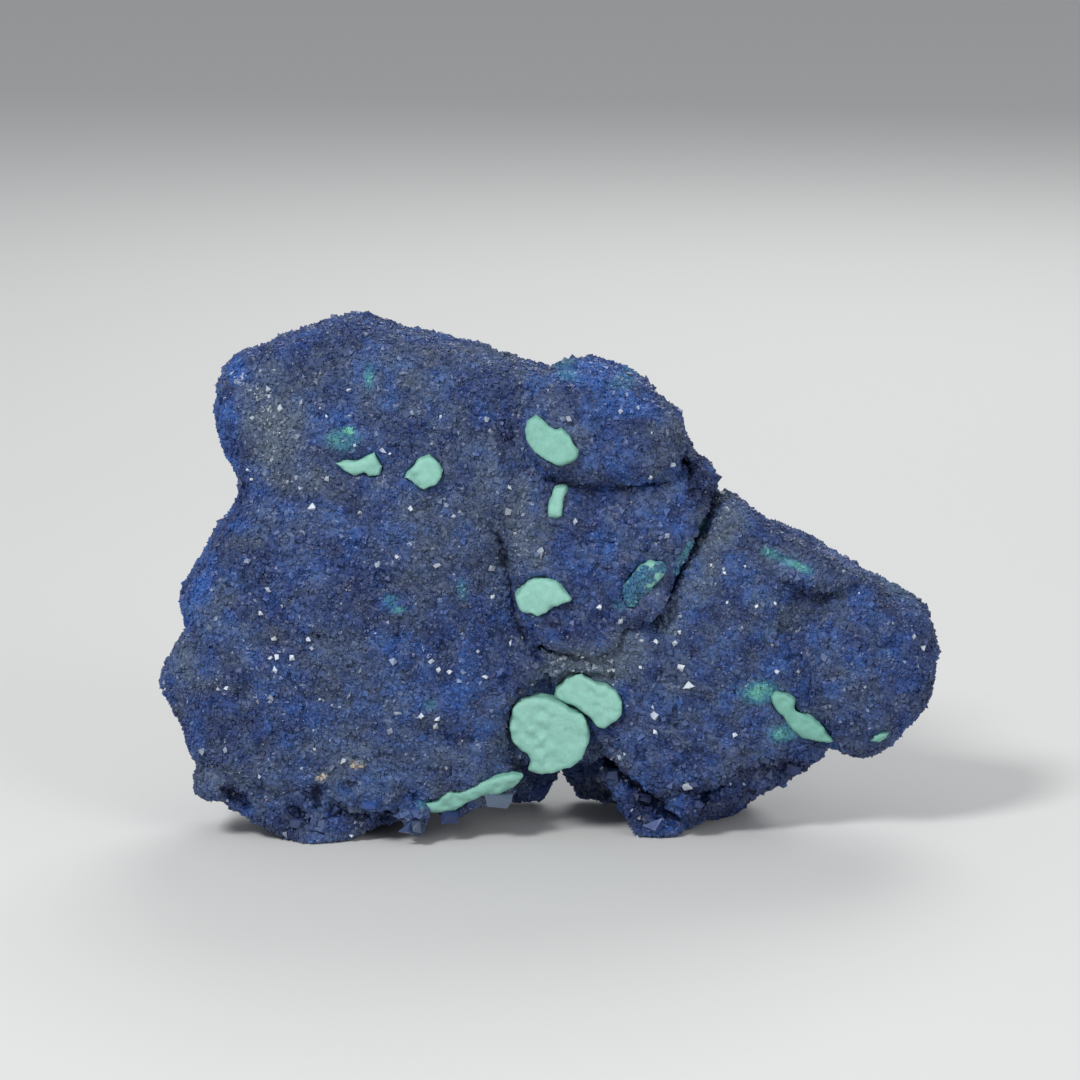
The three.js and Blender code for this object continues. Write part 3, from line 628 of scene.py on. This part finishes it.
# Painted shade: a darker, less grey tone under the ledges, the lobes' edges and the streak, along the feet's
# lower edges and on the shoulder beside the wedge.
PAINTED_SHADE_PATCHES = [
    (9.3, 22.2, 1.2, 1.8, 0.8),  # the shoulder beside the wedge
    (-11.7, 1.4, 2.4, 0.7, 0.8),  # under the left ledge
    (-19.4, 2.7, 0.7, 0.5, 0.7),
    (-6.0, 2.1, 1.8, 0.4, 0.4),  # under the streak
    (5.6, 1.8, 1.6, 1.4, 0.8),  # under the right lobe's edge
    (10.0, 1.7, 2.0, 1.2, 0.7),
    (12.4, 2.7, 2.0, 1.0, 0.7),
    (15.0, 4.3, 2.0, 1.0, 0.7),
    (15.4, 16.1, 1.4, 0.3, 0.3),
    (-17.8, 1.0, 2.6, 0.9, 0.5),  # the feet's lower edges
    (5.0, 24.0, 3.0, 1.4, 0.15),
]
FILM = [
    (-12.8, 25.2, 1.1, 0.8, 0.75),  # above the upper crescent
    (-12.5, 25.7, 0.5, 0.3, 1.5),
    (-11.2, 28.9, 0.35, 0.9, 0.65),
    (-9.9, 15.5, 0.55, 0.5, 0.6),
    (-9.4, 14.9, 0.5, 0.22, 0.9),
    (-5.5, 16.0, 0.35, 0.7, 0.65),
    (-7.5, 9.0, 0.5, 0.4, 0.5),
    (0.8, 29.1, 0.9, 0.3, 0.65),  # on the knob
    (4.6, 28.6, 1.4, 0.3, 0.4),
    (4.2, 15.2, 0.6, 0.4, 0.5),
    (12.9, 9.5, 1.4, 0.8, 0.9),  # beside the right bow
    (14.3, 6.9, 1.1, 0.6, 0.75),
    (-8.0, 2.6, 0.5, 0.3, 0.6),
]
VEINS = [
    [[7.7, 17.2], [7.9, 17.9], [8.4, 18.6], [9.4, 19.5]],
    [[13.2, 18.3], [14.2, 17.8], [15.9, 17.1]],
]
VEIN_WIDTH = 0.24
# Painted glints: where more crystals are coloured pale, to stand for the light that their facets catch.
PAINTED_SPARKLE_PATCHES = [
    (-19.2, 28.4, 0.6, 0.35, 1.6),  # painted sparkle: pale crystals along an edge of the upper left face
    (-18.4, 28.0, 0.7, 0.35, 1.6),
    (-17.7, 27.4, 0.5, 0.5, 1.6),
    (-17.2, 26.7, 0.35, 0.6, 1.4),
    (-17.6, 25.0, 1.3, 2.4, 0.65),
    (-16.8, 22.8, 1.4, 0.7, 0.4),
    (2.0, 11.4, 2.2, 0.8, 0.9),  # under the wedge
    (-1.8, 18.6, 0.7, 0.7, 0.6),
    (-15.4, 9.0, 4.0, 2.4, 0.1),
]
BEIGE = [
    (-12.0, 5.3, 0.7, 0.4, 1.6),
    (-14.2, 4.4, 0.5, 0.4, 1.4),
    (-13.4, 3.4, 0.3, 0.2, 0.6),
    (-1.2, 17.6, 0.7, 0.8, 0.55),  # above the wedge's growth
]


GRAIN_CONTRAST = 0.08  # how much one crystal's tone differs from the next one's
TONE_LAYERS = [(3.4, 0.14, 12), (1.1, 0.34, 13), (0.5, 0.18, 18)]
DUST_LAYERS = [(4.2, 0.2, 14), (0.9, 0.28, 15)]
BROKEN_SIZE = 0.7  # of the gaps in a film or a patch of beige
BACK_FILM_SIZE = 5.5  # of the patches of film on the back, which have gaps of the next size
BACK_GAP_SIZE = 1.3
PAINTED_GLINT_RANGE = (0.15, 0.6)


def patches(points, table):
    """How strongly each point lies in the table's patches."""
    total = np.zeros(len(points))
    for x, z, rx, rz, strength in table:
        reach = np.hypot((points[:, 0] - x) / rx, (points[:, 2] - z) / rz)
        total = np.maximum(total, strength * (1 - ramp(reach, 0.4, 1.25)))
    return total


def minerals_at(points, normals, rng, painted_glint_share):
    """The four MINERAL amounts at points on the azurite, in millimetres."""
    count = len(points)
    front = ramp(-normals[:, 1], -0.5, 0.3)
    broken = 0.5 + 0.5 * noise(points, BROKEN_SIZE, 11)
    # Painted highlight and painted shade, on the faces that face the front.
    painted_highlight = patches(points, PAINTED_HIGHLIGHT_PATCHES) * front
    flat = points[:, [0, 2]]
    # The cracks are painted darker by their depth too: painted shade in the creases.
    painted_shade = np.maximum(patches(points, PAINTED_SHADE_PATCHES), ramp(crack_depth(flat), 0.15, 0.5)) * front
    tone = 0.42 + layered(points, TONE_LAYERS) + 0.3 * painted_highlight - 0.35 * painted_shade
    tone = tone + GRAIN_CONTRAST * rng.standard_normal(count)
    dust_and_light = 0.2 + layered(points, DUST_LAYERS) - 0.3 * painted_highlight - 0.5 * painted_shade
    dust_and_light = dust_and_light + 0.6 * patches(points, DUST_AND_LIT_FACES) * front + GRAIN_CONTRAST * rng.standard_normal(count)
    dust_and_light = np.maximum(np.clip(dust_and_light, 0, MOST_GREY), patches(points, BEIGE) * front * (0.4 + 0.9 * broken))
    film = patches(points, FILM) * (0.35 + 0.9 * broken)
    for vein in VEINS:
        line = 1 - ramp(line_distance(flat, vein), 0.5 * VEIN_WIDTH, 1.5 * VEIN_WIDTH)
        film = np.maximum(film, line * (0.35 + 0.6 * broken))
    behind = ramp(noise(points, BACK_FILM_SIZE, 16), 0.55, 0.75) * (1 - front)
    behind = behind * ramp(noise(points, BACK_GAP_SIZE, 17), -0.1, 0.5)
    film = np.maximum(film * front, 0.6 * behind)
    painted_sparkle = np.maximum(patches(points, PAINTED_SPARKLE_PATCHES), 0.12 * patches(points, DUST_AND_LIT_FACES)) * front
    # Painted glints: some crystals are coloured pale, more of them in the sparkle patches.
    chance = painted_glint_share + 0.3 * painted_sparkle if painted_glint_share else 0
    painted_glint = (rng.random(count) < chance) * rng.uniform(*PAINTED_GLINT_RANGE, count)
    return np.stack([np.clip(tone, 0, 1), np.clip(dust_and_light, 0, 1), np.clip(film, 0, 1), painted_glint], 1)


# ---------------------------------------------------------------------------
# The azurite's mass.

PIT_DEPTH = 0.26
PIT_LAYERS = [(0.95, 1, 31), (3.1, 0.5, 32)]
LUMP_LAYERS = [(5.0, 0.2, 1), (2.2, 0.16, 2), (1.1, 0.12, 3), (0.6, 0.1, 4)]
SUNK = 0.13  # how far the crust lies below the surface that its crystals' tips reach
ROUGHNESS = 0.045  # how far each of the crust's points is off at random
GROWTH_MARGIN = (0.12, 0.6)  # from a growth, the crust is even up to the first and rough from the second
FLOOR_MARGIN = (0.1, 0.8)  # and the same from the floor


def azurite_mass():
    axes = [np.arange(low, high, CELL) for low, high in zip(GRID_LOW, GRID_HIGH)]
    field = azurite_field(*axes)
    field = np.maximum(field + SUNK, (SOLE - axes[2])[None, None, :])
    cut_sockets(field, axes)
    verts, quads = surface_net(field, GRID_LOW, CELL)
    verts = verts - (0, MIDDLE_Y, 0)
    normals = vertex_normals(verts, quads)
    calm = ramp(growth_distance(verts), *GROWTH_MARGIN) * ramp(verts[:, 2], *FLOOR_MARGIN)
    pits = ramp(layered(verts, PIT_LAYERS), 0.42, 0.7)
    lumps = layered(verts, LUMP_LAYERS) - PIT_DEPTH * pits
    verts = verts + normals * (lumps * calm)[:, None]
    verts = verts + ROUGHNESS * calm[:, None] * np.random.default_rng(40).standard_normal(verts.shape)
    verts[:, 2] = np.maximum(verts[:, 2], 0)
    return verts, quads, vertex_normals(verts, quads)


# The six sides of the mass on its map, in millimetres: the axis that a side faces, whether it faces that
# axis's high end, the axes that run across and up the map, and where on the map it starts.
SIDES = [
    (1, False, 0, 2, 0, 0),
    (1, True, 0, 2, 0, 35),
    (2, True, 0, 1, 0, 70),
    (0, False, 1, 2, 51, 0),
    (0, True, 1, 2, 51, 35),
    (2, False, 1, 0, 69, 0),
]
MAP_WIDTH = 88


def box_layout(verts, quads):
    """A map layout of the six directions that the quads face."""
    corners = verts[quads]
    normal = np.cross(corners[:, 2] - corners[:, 0], corners[:, 3] - corners[:, 1])
    facing = np.abs(normal).argmax(1)
    towards_high = normal[np.arange(len(quads)), facing] > 0
    low = verts.min(0)
    layout = np.zeros((len(quads), 4, 2))
    for axis, high, across, up, start_x, start_y in SIDES:
        chosen = (facing == axis) & (towards_high == high)
        layout[chosen] = (corners[chosen] - low)[:, :, [across, up]] + (start_x, start_y)
    return (layout.reshape(-1, 2) + 0.5) / MAP_WIDTH


# ---------------------------------------------------------------------------
# Crystals: small closed solids, each with its base sunk in the crust.

SHAPES = {
    # A grain with eight facets.
    "grain": (
        [(0.5, 0.06, -0.1), (-0.05, 0.46, 0.08), (-0.5, -0.04, 0.02), (0.1, -0.5, 0.1), (0.08, 0.1, 0.5),
         (0, 0, -0.5)],
        [],
        [(0, 1, 4), (1, 2, 4), (2, 3, 4), (3, 0, 4), (1, 0, 5), (2, 1, 5), (3, 2, 5), (0, 3, 5)],
    ),
    # A crystal's corner: three facets that meet at a point.
    "corner": (
        [(0.6, -0.05, -0.3), (-0.34, 0.52, -0.34), (-0.3, -0.56, -0.28), (0.08, 0.04, 0.46)],
        [],
        [(2, 1, 0), (0, 1, 3), (1, 2, 3), (2, 0, 3)],
    ),
    # A block that narrows upwards.
    "block": (
        [(-0.45, -0.4, -0.45), (0.42, -0.45, -0.45), (0.45, 0.38, -0.45), (-0.4, 0.42, -0.45),
         (-0.3, -0.32, 0.34), (0.34, -0.28, 0.42), (0.3, 0.34, 0.46), (-0.34, 0.28, 0.38)],
        [(3, 2, 1, 0), (4, 5, 6, 7), (0, 1, 5, 4), (1, 2, 6, 5), (2, 3, 7, 6), (3, 0, 4, 7)],
        [],
    ),
}
SHARES = {"grain": 0.5, "corner": 0.35, "block": 0.15}
CELL_REACH = 0.3  # how far a face's corners are from the middle of its crystal's cell on the map
UNEVEN = 0.09  # how far each corner of a crystal may be off its shape, for a crystal 1 across


def crystal_frames(normals, tilt, rng, roll=None):
    """Three axes for each normal. The third is near the normal, and the others are turned about it at random,
    or, with a roll, by about that much from X and Z.
    """
    up = unit(normals + tilt * rng.standard_normal(normals.shape))
    across = rng.standard_normal(normals.shape)
    if roll is not None:
        across = (0, 0, 1) + roll * across
    side = unit(np.cross(up, across))
    return np.stack([side, np.cross(up, side), up], 1)


def crystal_mesh(places, frames, sizes, kinds, rng):
    """A mesh of crystals: its vertices, its faces by width, and the crystal that each vertex is in."""
    verts, quads, triangles, owner, start = [], [], [], [], 0
    for kind, (points, kind_quads, kind_triangles) in SHAPES.items():
        chosen = np.flatnonzero(kinds == kind)
        shape = np.array(points) + UNEVEN * rng.standard_normal((len(chosen), len(points), 3))
        local = shape * sizes[chosen][:, None, :]
        placed = places[chosen][:, None, :] + np.einsum("nvi,nij->nvj", local, frames[chosen])
        offset = start + len(points) * np.arange(len(chosen))[:, None, None]
        if kind_quads:
            quads.append((offset + np.array(kind_quads)[None]).reshape(-1, 4))
        if kind_triangles:
            triangles.append((offset + np.array(kind_triangles)[None]).reshape(-1, 3))
        verts.append(placed.reshape(-1, 3))
        owner.append(np.repeat(chosen, len(points)))
        start += len(points) * len(chosen)
    faces = [np.concatenate(kind) for kind in (quads, triangles) if kind]
    return np.concatenate(verts), faces, np.concatenate(owner)


def crystal_cells(places, faces, owner):
    """A map layout with one cell for each crystal, in rows and columns that follow X and Z."""
    side = math.ceil(len(places) ** 0.5)
    column = np.argsort(np.argsort(places[:, 0])) // side
    row = np.empty(len(places), int)
    row[np.lexsort((places[:, 2], column))] = np.arange(len(places)) % side
    cells = np.stack([column, row], 1) + 0.5
    corners = []
    for kind in faces:
        turn = 2 * math.pi * np.arange(kind.shape[1]) / kind.shape[1]
        ring = CELL_REACH * np.stack([np.cos(turn), np.sin(turn)], 1)
        corners.append((cells[owner[kind]] + ring).reshape(-1, 2))
    return np.concatenate(corners) / side


def scatter(verts, quads, normals, weight, count, rng):
    """Random places on the quads, with their normals. weight scales how many fall on each quad."""
    corner = verts[quads]
    area = 0.5 * np.linalg.norm(np.cross(corner[:, 2] - corner[:, 0], corner[:, 3] - corner[:, 1]), axis=1)
    share = area * weight
    chosen = rng.choice(len(quads), count, p=share / share.sum())
    u, v = rng.random((2, count, 1))
    c = corner[chosen]
    places = (1 - v) * ((1 - u) * c[:, 0] + u * c[:, 1]) + v * ((1 - u) * c[:, 3] + u * c[:, 2])
    return places, unit(normals[quads[chosen]].mean(1))


def crystal_sizes(width, count, rng):
    """Widths, breadths and heights of crystals about width across."""
    return width * rng.lognormal(0, 0.25, (count, 1)) * rng.uniform(0.75, 1.25, (count, 3))


def random_kinds(shares, count, rng):
    """A shape's name for each crystal, by the shapes' shares."""
    return rng.choice(list(shares), count, p=list(shares.values()))


def add_crystals(name, places, directions, sizes, kinds, minerals, rng, tilt=0.5, roll=None):
    """A piece made of crystals. minerals holds the four MINERAL amounts of each crystal."""
    frames = crystal_frames(directions, tilt, rng, roll)
    verts, faces, owner = crystal_mesh(places, frames, sizes, kinds, rng)
    verts[:, 2] = np.maximum(verts[:, 2], 0)
    layout = crystal_cells(places, faces, owner)
    make_piece(name, verts, faces, minerals[owner], "azurite", layout=layout)


def add_crust_crystals(name, places, directions, sizes, shares, painted_glint_share, rng):
    """Crystals that leave the growths, the narrow cracks and the specimen's sole bare."""
    keep = (growth_distance(places) > 0.02 + 0.25 * sizes.max(1)) & (places[:, 2] > SOLE_MARGIN)
    keep &= (crack_depth(places[:, [0, 2]], CRACK_WITHOUT_CRYSTALS) < 0.22) | (directions[:, 1] > -0.2)
    places, directions, sizes = places[keep], directions[keep], sizes[keep]
    kinds = random_kinds(shares, len(places), rng)
    minerals = minerals_at(places, directions, rng, painted_glint_share)
    add_crystals(name, places, directions, sizes, kinds, minerals, rng)


SOLE_MARGIN = 0.12
FLATNESS = 0.85
CRACK_WITHOUT_CRYSTALS = 0.24  # the widest crack that has none in it

# Name, the range of X that it covers, whether it faces front, how many crystals, and their mean width.
DRUSES = [
    ("azurite_druse_front_left", (-99, -14), True, 19000, 0.26),
    ("azurite_druse_front_centre_left", (-14, -4), True, 20000, 0.26),
    ("azurite_druse_front_centre_right", (-4, 8), True, 20000, 0.26),
    ("azurite_druse_front_right", (8, 99), True, 20000, 0.26),
    ("azurite_druse_back_left", (-99, -2), False, 15000, 0.34),
    ("azurite_druse_back_right", (-2, 99), False, 13000, 0.34),
]


def add_druse(mass):
    verts, quads, normals = mass
    middle = verts[quads].mean(1)
    facing = normals[quads].mean(1)[:, 1]
    for seed, (name, (low, high), front, count, width) in enumerate(DRUSES):
        rng = np.random.default_rng(100 + seed)
        inside = (middle[:, 0] >= low) & (middle[:, 0] < high) & ((facing < 0.25) == front)
        places, directions = scatter(verts, quads, normals, inside.astype(float), count, rng)
        sizes = crystal_sizes(width, count, rng)
        sizes[:, 2] *= FLATNESS
        add_crust_crystals(name, places, directions, sizes, SHARES, 0.0015, rng)


# Larger single crystals: shape, place in X and Z, width, height and depth.
BLOCKS = [
    ("corner", -8.9, 1.1, 1.1, 0.9, 0.7),  # at the arch's left side
    ("block", -8.3, 1.3, 0.8, 1.1, 0.7),
    ("corner", -9.3, 1.9, 0.9, 0.8, 0.6),
    ("block", -3.2, 2.7, 2.2, 1.1, 1.0),  # under the streak
    ("block", -6.3, 1.6, 1.1, 0.8, 0.8),
    ("block", 3.9, 3.8, 1.2, 0.8, 0.8),  # on the right foot
    ("block", 5.8, 2.3, 1.3, 0.7, 0.7),
    ("corner", 8.0, 2.4, 1.3, 1.0, 0.7),
    ("corner", 6.4, 0.8, 1.1, 1.0, 0.6),
    ("corner", -14.2, 0.9, 1.3, 0.9, 0.6),  # on the left foot
    ("block", -15.9, 1.2, 0.9, 0.6, 0.4),
    ("block", -11.2, 2.7, 1.0, 0.5, 0.4),
]
BLOCK_RISE = 0.25  # how far their middles are in front of the crust
BLOCK_TILT = 0.12
BLOCK_ROLL = 0.15  # how far a block may be turned about the line that it faces along
# Where crystals of middling size are strewn: ovals in X and Z, as in the patches of colour.
COARSE = [
    (-12.5, 1.6, 5.0, 1.8, 1.0),
    (5.6, 2.2, 2.8, 2.2, 1.0),
    (11.0, 3.0, 4.0, 1.5, 1.0),
    (15.0, 4.8, 2.0, 1.2, 1.0),
    (9.2, 22.0, 1.2, 1.6, 0.6),
    (15.6, 16.4, 1.8, 1.0, 0.5),
]
COARSE_COUNT = 520
COARSE_WIDTH = 0.42
COARSE_SHARES = {"grain": 0.4, "block": 0.6}


def on_front(tree, spots):
    """Where lines from the front through the spots, which start with X and Z, meet the tree's mesh."""
    hits = [tree.ray_cast(Vector((spot[0], -20, spot[1])), Vector((0, 1, 0)))[:2] for spot in spots]
    found = [n for n, hit in enumerate(hits) if hit[0] is not None]
    return found, np.array([hits[n][0] for n in found]), np.array([hits[n][1] for n in found])


def add_blocks(mass, tree):
    verts, quads, normals = mass
    rng = np.random.default_rng(80)
    middle = verts[quads].mean(1)
    weight = patches(middle, COARSE) * (normals[quads].mean(1)[:, 1] < 0.2)
    places, directions = scatter(verts, quads, normals, weight, COARSE_COUNT, rng)
    sizes = crystal_sizes(COARSE_WIDTH, COARSE_COUNT, rng)
    add_crust_crystals("azurite_coarse", places, directions, sizes, COARSE_SHARES, 0.01, rng)
    found, places, _ = on_front(tree, [block[1:3] for block in BLOCKS])
    sizes = np.array([BLOCKS[n][3:] for n in found])
    kinds = np.array([BLOCKS[n][0] for n in found])
    forward = np.tile((0.0, -1.0, 0.0), (len(found), 1))
    minerals = minerals_at(places, forward, rng, 0)
    places = places + BLOCK_RISE * forward
    add_crystals("azurite_blocks", places, forward, sizes, kinds, minerals, rng, BLOCK_TILT, BLOCK_ROLL)


# Places in X and Z of the painted glints on the front: pale crystals that stand for glints.
GLINTS = [
    [-14.9, 13.1], [-14.7, 12.6], [-16.8, 12.0], [-17.0, 11.2], [-20.0, 9.8], [-9.9, 7.4], [-14.6, 6.1],
    [-20.1, 5.9], [-2.6, 20.9], [-8.7, 19.0], [-10.7, 17.7], [-6.3, 11.1], [-5.7, 10.5], [6.5, 12.8],
    [7.9, 13.4], [9.8, 17.4], [10.8, 15.2], [12.6, 14.9], [18.3, 17.7], [2.2, 11.4], [21.0, 13.8],
    [19.5, 8.5], [11.3, 6.9], [6.4, 7.1], [-17.9, 14.6], [-5.4, 24.8], [-2.0, 28.4], [4.2, 27.2],
    [-8.0, 22.8], [-3.7, 17.2],
]
MORE_GLINTS = 110
GLINT_WIDTH = 0.35
GLINT_RISE = 0.1  # how far their middles are above the crust


def add_glints(mass, tree):
    """Painted glints: crystals the size of a large grain, coloured pale to stand for glints."""
    verts, quads, normals = mass
    rng = np.random.default_rng(90)
    weight = (normals[quads].mean(1)[:, 1] < -0.3).astype(float)
    places, directions = scatter(verts, quads, normals, weight, MORE_GLINTS, rng)
    _, more_places, more_directions = on_front(tree, GLINTS)
    places, directions = np.vstack([places, more_places]), np.vstack([directions, more_directions])
    keep = growth_distance(places) > GLINT_WIDTH
    places, directions = places[keep] + GLINT_RISE * directions[keep], directions[keep]
    sizes = crystal_sizes(GLINT_WIDTH, len(places), rng)
    minerals = minerals_at(places, directions, rng, 0)
    # How pale each painted glint is.
    minerals[:, 3] = 1 - 0.75 * rng.random(len(places)) ** 0.7
    kinds = np.full(len(places), "grain")
    add_crystals("azurite_glints", places, directions, sizes, kinds, minerals, rng)


# ---------------------------------------------------------------------------
# Malachite growths: each is its CAD solid with its edges worn round and a finely grained face.

GROWTH_VOXEL = 0.1
SMOOTHING = 6  # rounds
GRAIN_LAYERS = [(1.6, 0.07, 21), (0.6, 0.1, 22), (0.3, 0.05, 23)]


def remeshed(node, voxel):
    """Vertices in millimetres, and quads, of the node's mesh rebuilt from small voxels."""
    copy = bpy.data.objects.new("remesh", node.data.copy())
    bpy.context.scene.collection.objects.link(copy)
    modifier = copy.modifiers.new("remesh", "REMESH")
    modifier.mode = "VOXEL"
    modifier.voxel_size = voxel * MM
    bpy.context.view_layer.update()
    mesh = copy.evaluated_get(bpy.context.evaluated_depsgraph_get()).to_mesh()
    verts = np.array([v.co for v in mesh.vertices]) / MM
    quads = np.array([p.vertices for p in mesh.polygons if len(p.vertices) == 4])
    bpy.data.objects.remove(copy)
    return verts, quads


def smoothed(verts, quads, rounds):
    for _ in range(rounds):
        total = np.zeros_like(verts)
        count = np.zeros(len(verts))
        for n in range(4):
            for other in (quads[:, (n + 1) % 4], quads[:, (n + 3) % 4]):
                np.add.at(total, quads[:, n], verts[other])
                np.add.at(count, quads[:, n], 1)
        verts = 0.5 * verts + 0.5 * total / count[:, None]
    return verts


CRUST_GRAINS = 260
CRUST_GRAIN_WIDTH = 0.2


def add_crust_grains(verts, quads, normals, worn):
    """Azurite crystals that show through the worn growth."""
    rng = np.random.default_rng(95)
    weight = worn[quads].mean(1) * (normals[quads].mean(1)[:, 1] < -0.5)
    places, directions = scatter(verts, quads, normals, weight, CRUST_GRAINS, rng)
    sizes = crystal_sizes(CRUST_GRAIN_WIDTH, CRUST_GRAINS, rng)
    kinds = random_kinds(SHARES, CRUST_GRAINS, rng)
    minerals = minerals_at(places, directions, rng, 0)
    minerals[:, 2] = rng.uniform(0.1, 0.75, CRUST_GRAINS)
    add_crystals("azurite_on_crust", places, directions, sizes, kinds, minerals, rng)


def add_growth(name, node):
    verts, quads = remeshed(node, GROWTH_VOXEL)
    verts = smoothed(verts, quads, SMOOTHING)
    normals = vertex_normals(verts, quads)
    verts = verts + normals * layered(verts, GRAIN_LAYERS)[:, None]
    normals = vertex_normals(verts, quads)
    # Painted shade on the edges that turn from the front, with some noise.
    rim = ramp(normals[:, 1], -0.8, -0.2) * (0.35 + 0.25 * noise(verts, 0.5, 26))
    deep = np.full(len(verts), DEEP_GREEN.get(name, 0.0))
    worn = np.zeros(len(verts))
    if name == WORN:
        worn = ramp(layered(verts, WORN_LAYERS) - 0.45 * (verts[:, 2] - WORN_BELOW), -0.25, 0.35)
        add_crust_grains(verts, quads, normals, worn)
    minerals = np.stack([deep, rim, worn, np.zeros(len(verts))], 1)
    piece = make_piece(name + "_grown", verts, [quads], minerals, "malachite", smooth=True)
    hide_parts(name)


DEEP_GREEN = {
    "malachite_right_bow": 0.5,
    "malachite_upper_spot": 0.08,
    "malachite_upper_crescent": 0.1,
    "malachite_right_fleck": 0.45,
    "malachite_arch_streak": 0.2,
    "malachite_wedge_crust": 0.25,
    "malachite_knob_spot": 0.25,
}
WORN = "malachite_wedge_crust"  # the azurite shows through it
WORN_LAYERS = [(0.55, 1, 24), (0.28, 0.5, 25)]
WORN_BELOW = 17.2

# ---------------------------------------------------------------------------
# The specimen.

MATERIALS = {"azurite": azurite_material(), "malachite": malachite_material()}

mass = azurite_mass()
mass_minerals = minerals_at(mass[0], mass[2], np.random.default_rng(50), 0.0)
mass_layout = box_layout(mass[0], mass[1])
mass_piece = make_piece("azurite_mass", mass[0], [mass[1]], mass_minerals, "azurite", layout=mass_layout)
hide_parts("azurite")
mass_tree = BVHTree.FromPolygons(mass[0], mass[1])
add_druse(mass)
add_blocks(mass, mass_tree)
add_glints(mass, mass_tree)
for growth_name in GROWTH_NAMES:
    add_growth(growth_name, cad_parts[growth_name])

# ---------------------------------------------------------------------------
# Floor, lights and camera, in metres.

FLOOR_SIZE = 3.0
TARGET = Vector((-0.0007, -0.0032, 0.0186))
ELEVATION = math.radians(12)
DISTANCE = 0.26
LENS = 140
SENSOR = 36


def add_floor():
    half = FLOOR_SIZE / 2
    mesh = bpy.data.meshes.new("floor")
    corners = [(-half, -half, 0), (half, -half, 0), (half, half, 0), (-half, half, 0)]
    mesh.from_pydata(corners, [], [(0, 1, 2, 3)])
    nodes = Nodes("floor")
    nodes.shader.inputs["Base Color"].default_value = (0.6, 0.6, 0.59, 1)
    nodes.shader.inputs["Roughness"].default_value = 0.7
    mesh.materials.append(nodes.material)
    floor = bpy.data.objects.new("floor", mesh)
    bpy.context.scene.collection.objects.link(floor)


def add_area_light(name, place, size, power, colour=(1, 1, 1)):
    light = bpy.data.lights.new(name, "AREA")
    light.shape = "DISK"
    light.size = size
    light.energy = power
    light.color = colour
    lamp = bpy.data.objects.new(name, light)
    lamp.location = place
    lamp.rotation_euler = (TARGET - Vector(place)).to_track_quat("-Z", "Y").to_euler()
    bpy.context.scene.collection.objects.link(lamp)


def add_world(strength):
    world = bpy.data.worlds.new("studio")
    world.use_nodes = True
    background = world.node_tree.nodes["Background"]
    background.inputs["Color"].default_value = (0.93, 0.96, 1.0, 1)
    background.inputs["Strength"].default_value = strength
    bpy.context.scene.world = world


def add_camera():
    data = bpy.data.cameras.new("camera")
    data.lens = LENS
    data.sensor_width = SENSOR
    data.clip_start = 0.01
    data.clip_end = 10
    camera = bpy.data.objects.new("camera", data)
    back = Vector((0, -math.cos(ELEVATION), math.sin(ELEVATION)))
    camera.location = TARGET + back * DISTANCE
    camera.rotation_euler = (-back).to_track_quat("-Z", "Y").to_euler()
    bpy.context.scene.collection.objects.link(camera)
    bpy.context.scene.camera = camera


add_floor()
add_area_light("key", (-0.16, -0.20, 0.26), 0.09, 0.9)
add_area_light("fill", (0.22, -0.24, 0.16), 0.2, 0.35)
add_area_light("rim", (0.05, 0.25, 0.22), 0.2, 0.4)
add_world(0.45)
add_camera()
bpy.context.scene.view_settings.view_transform = "Standard"
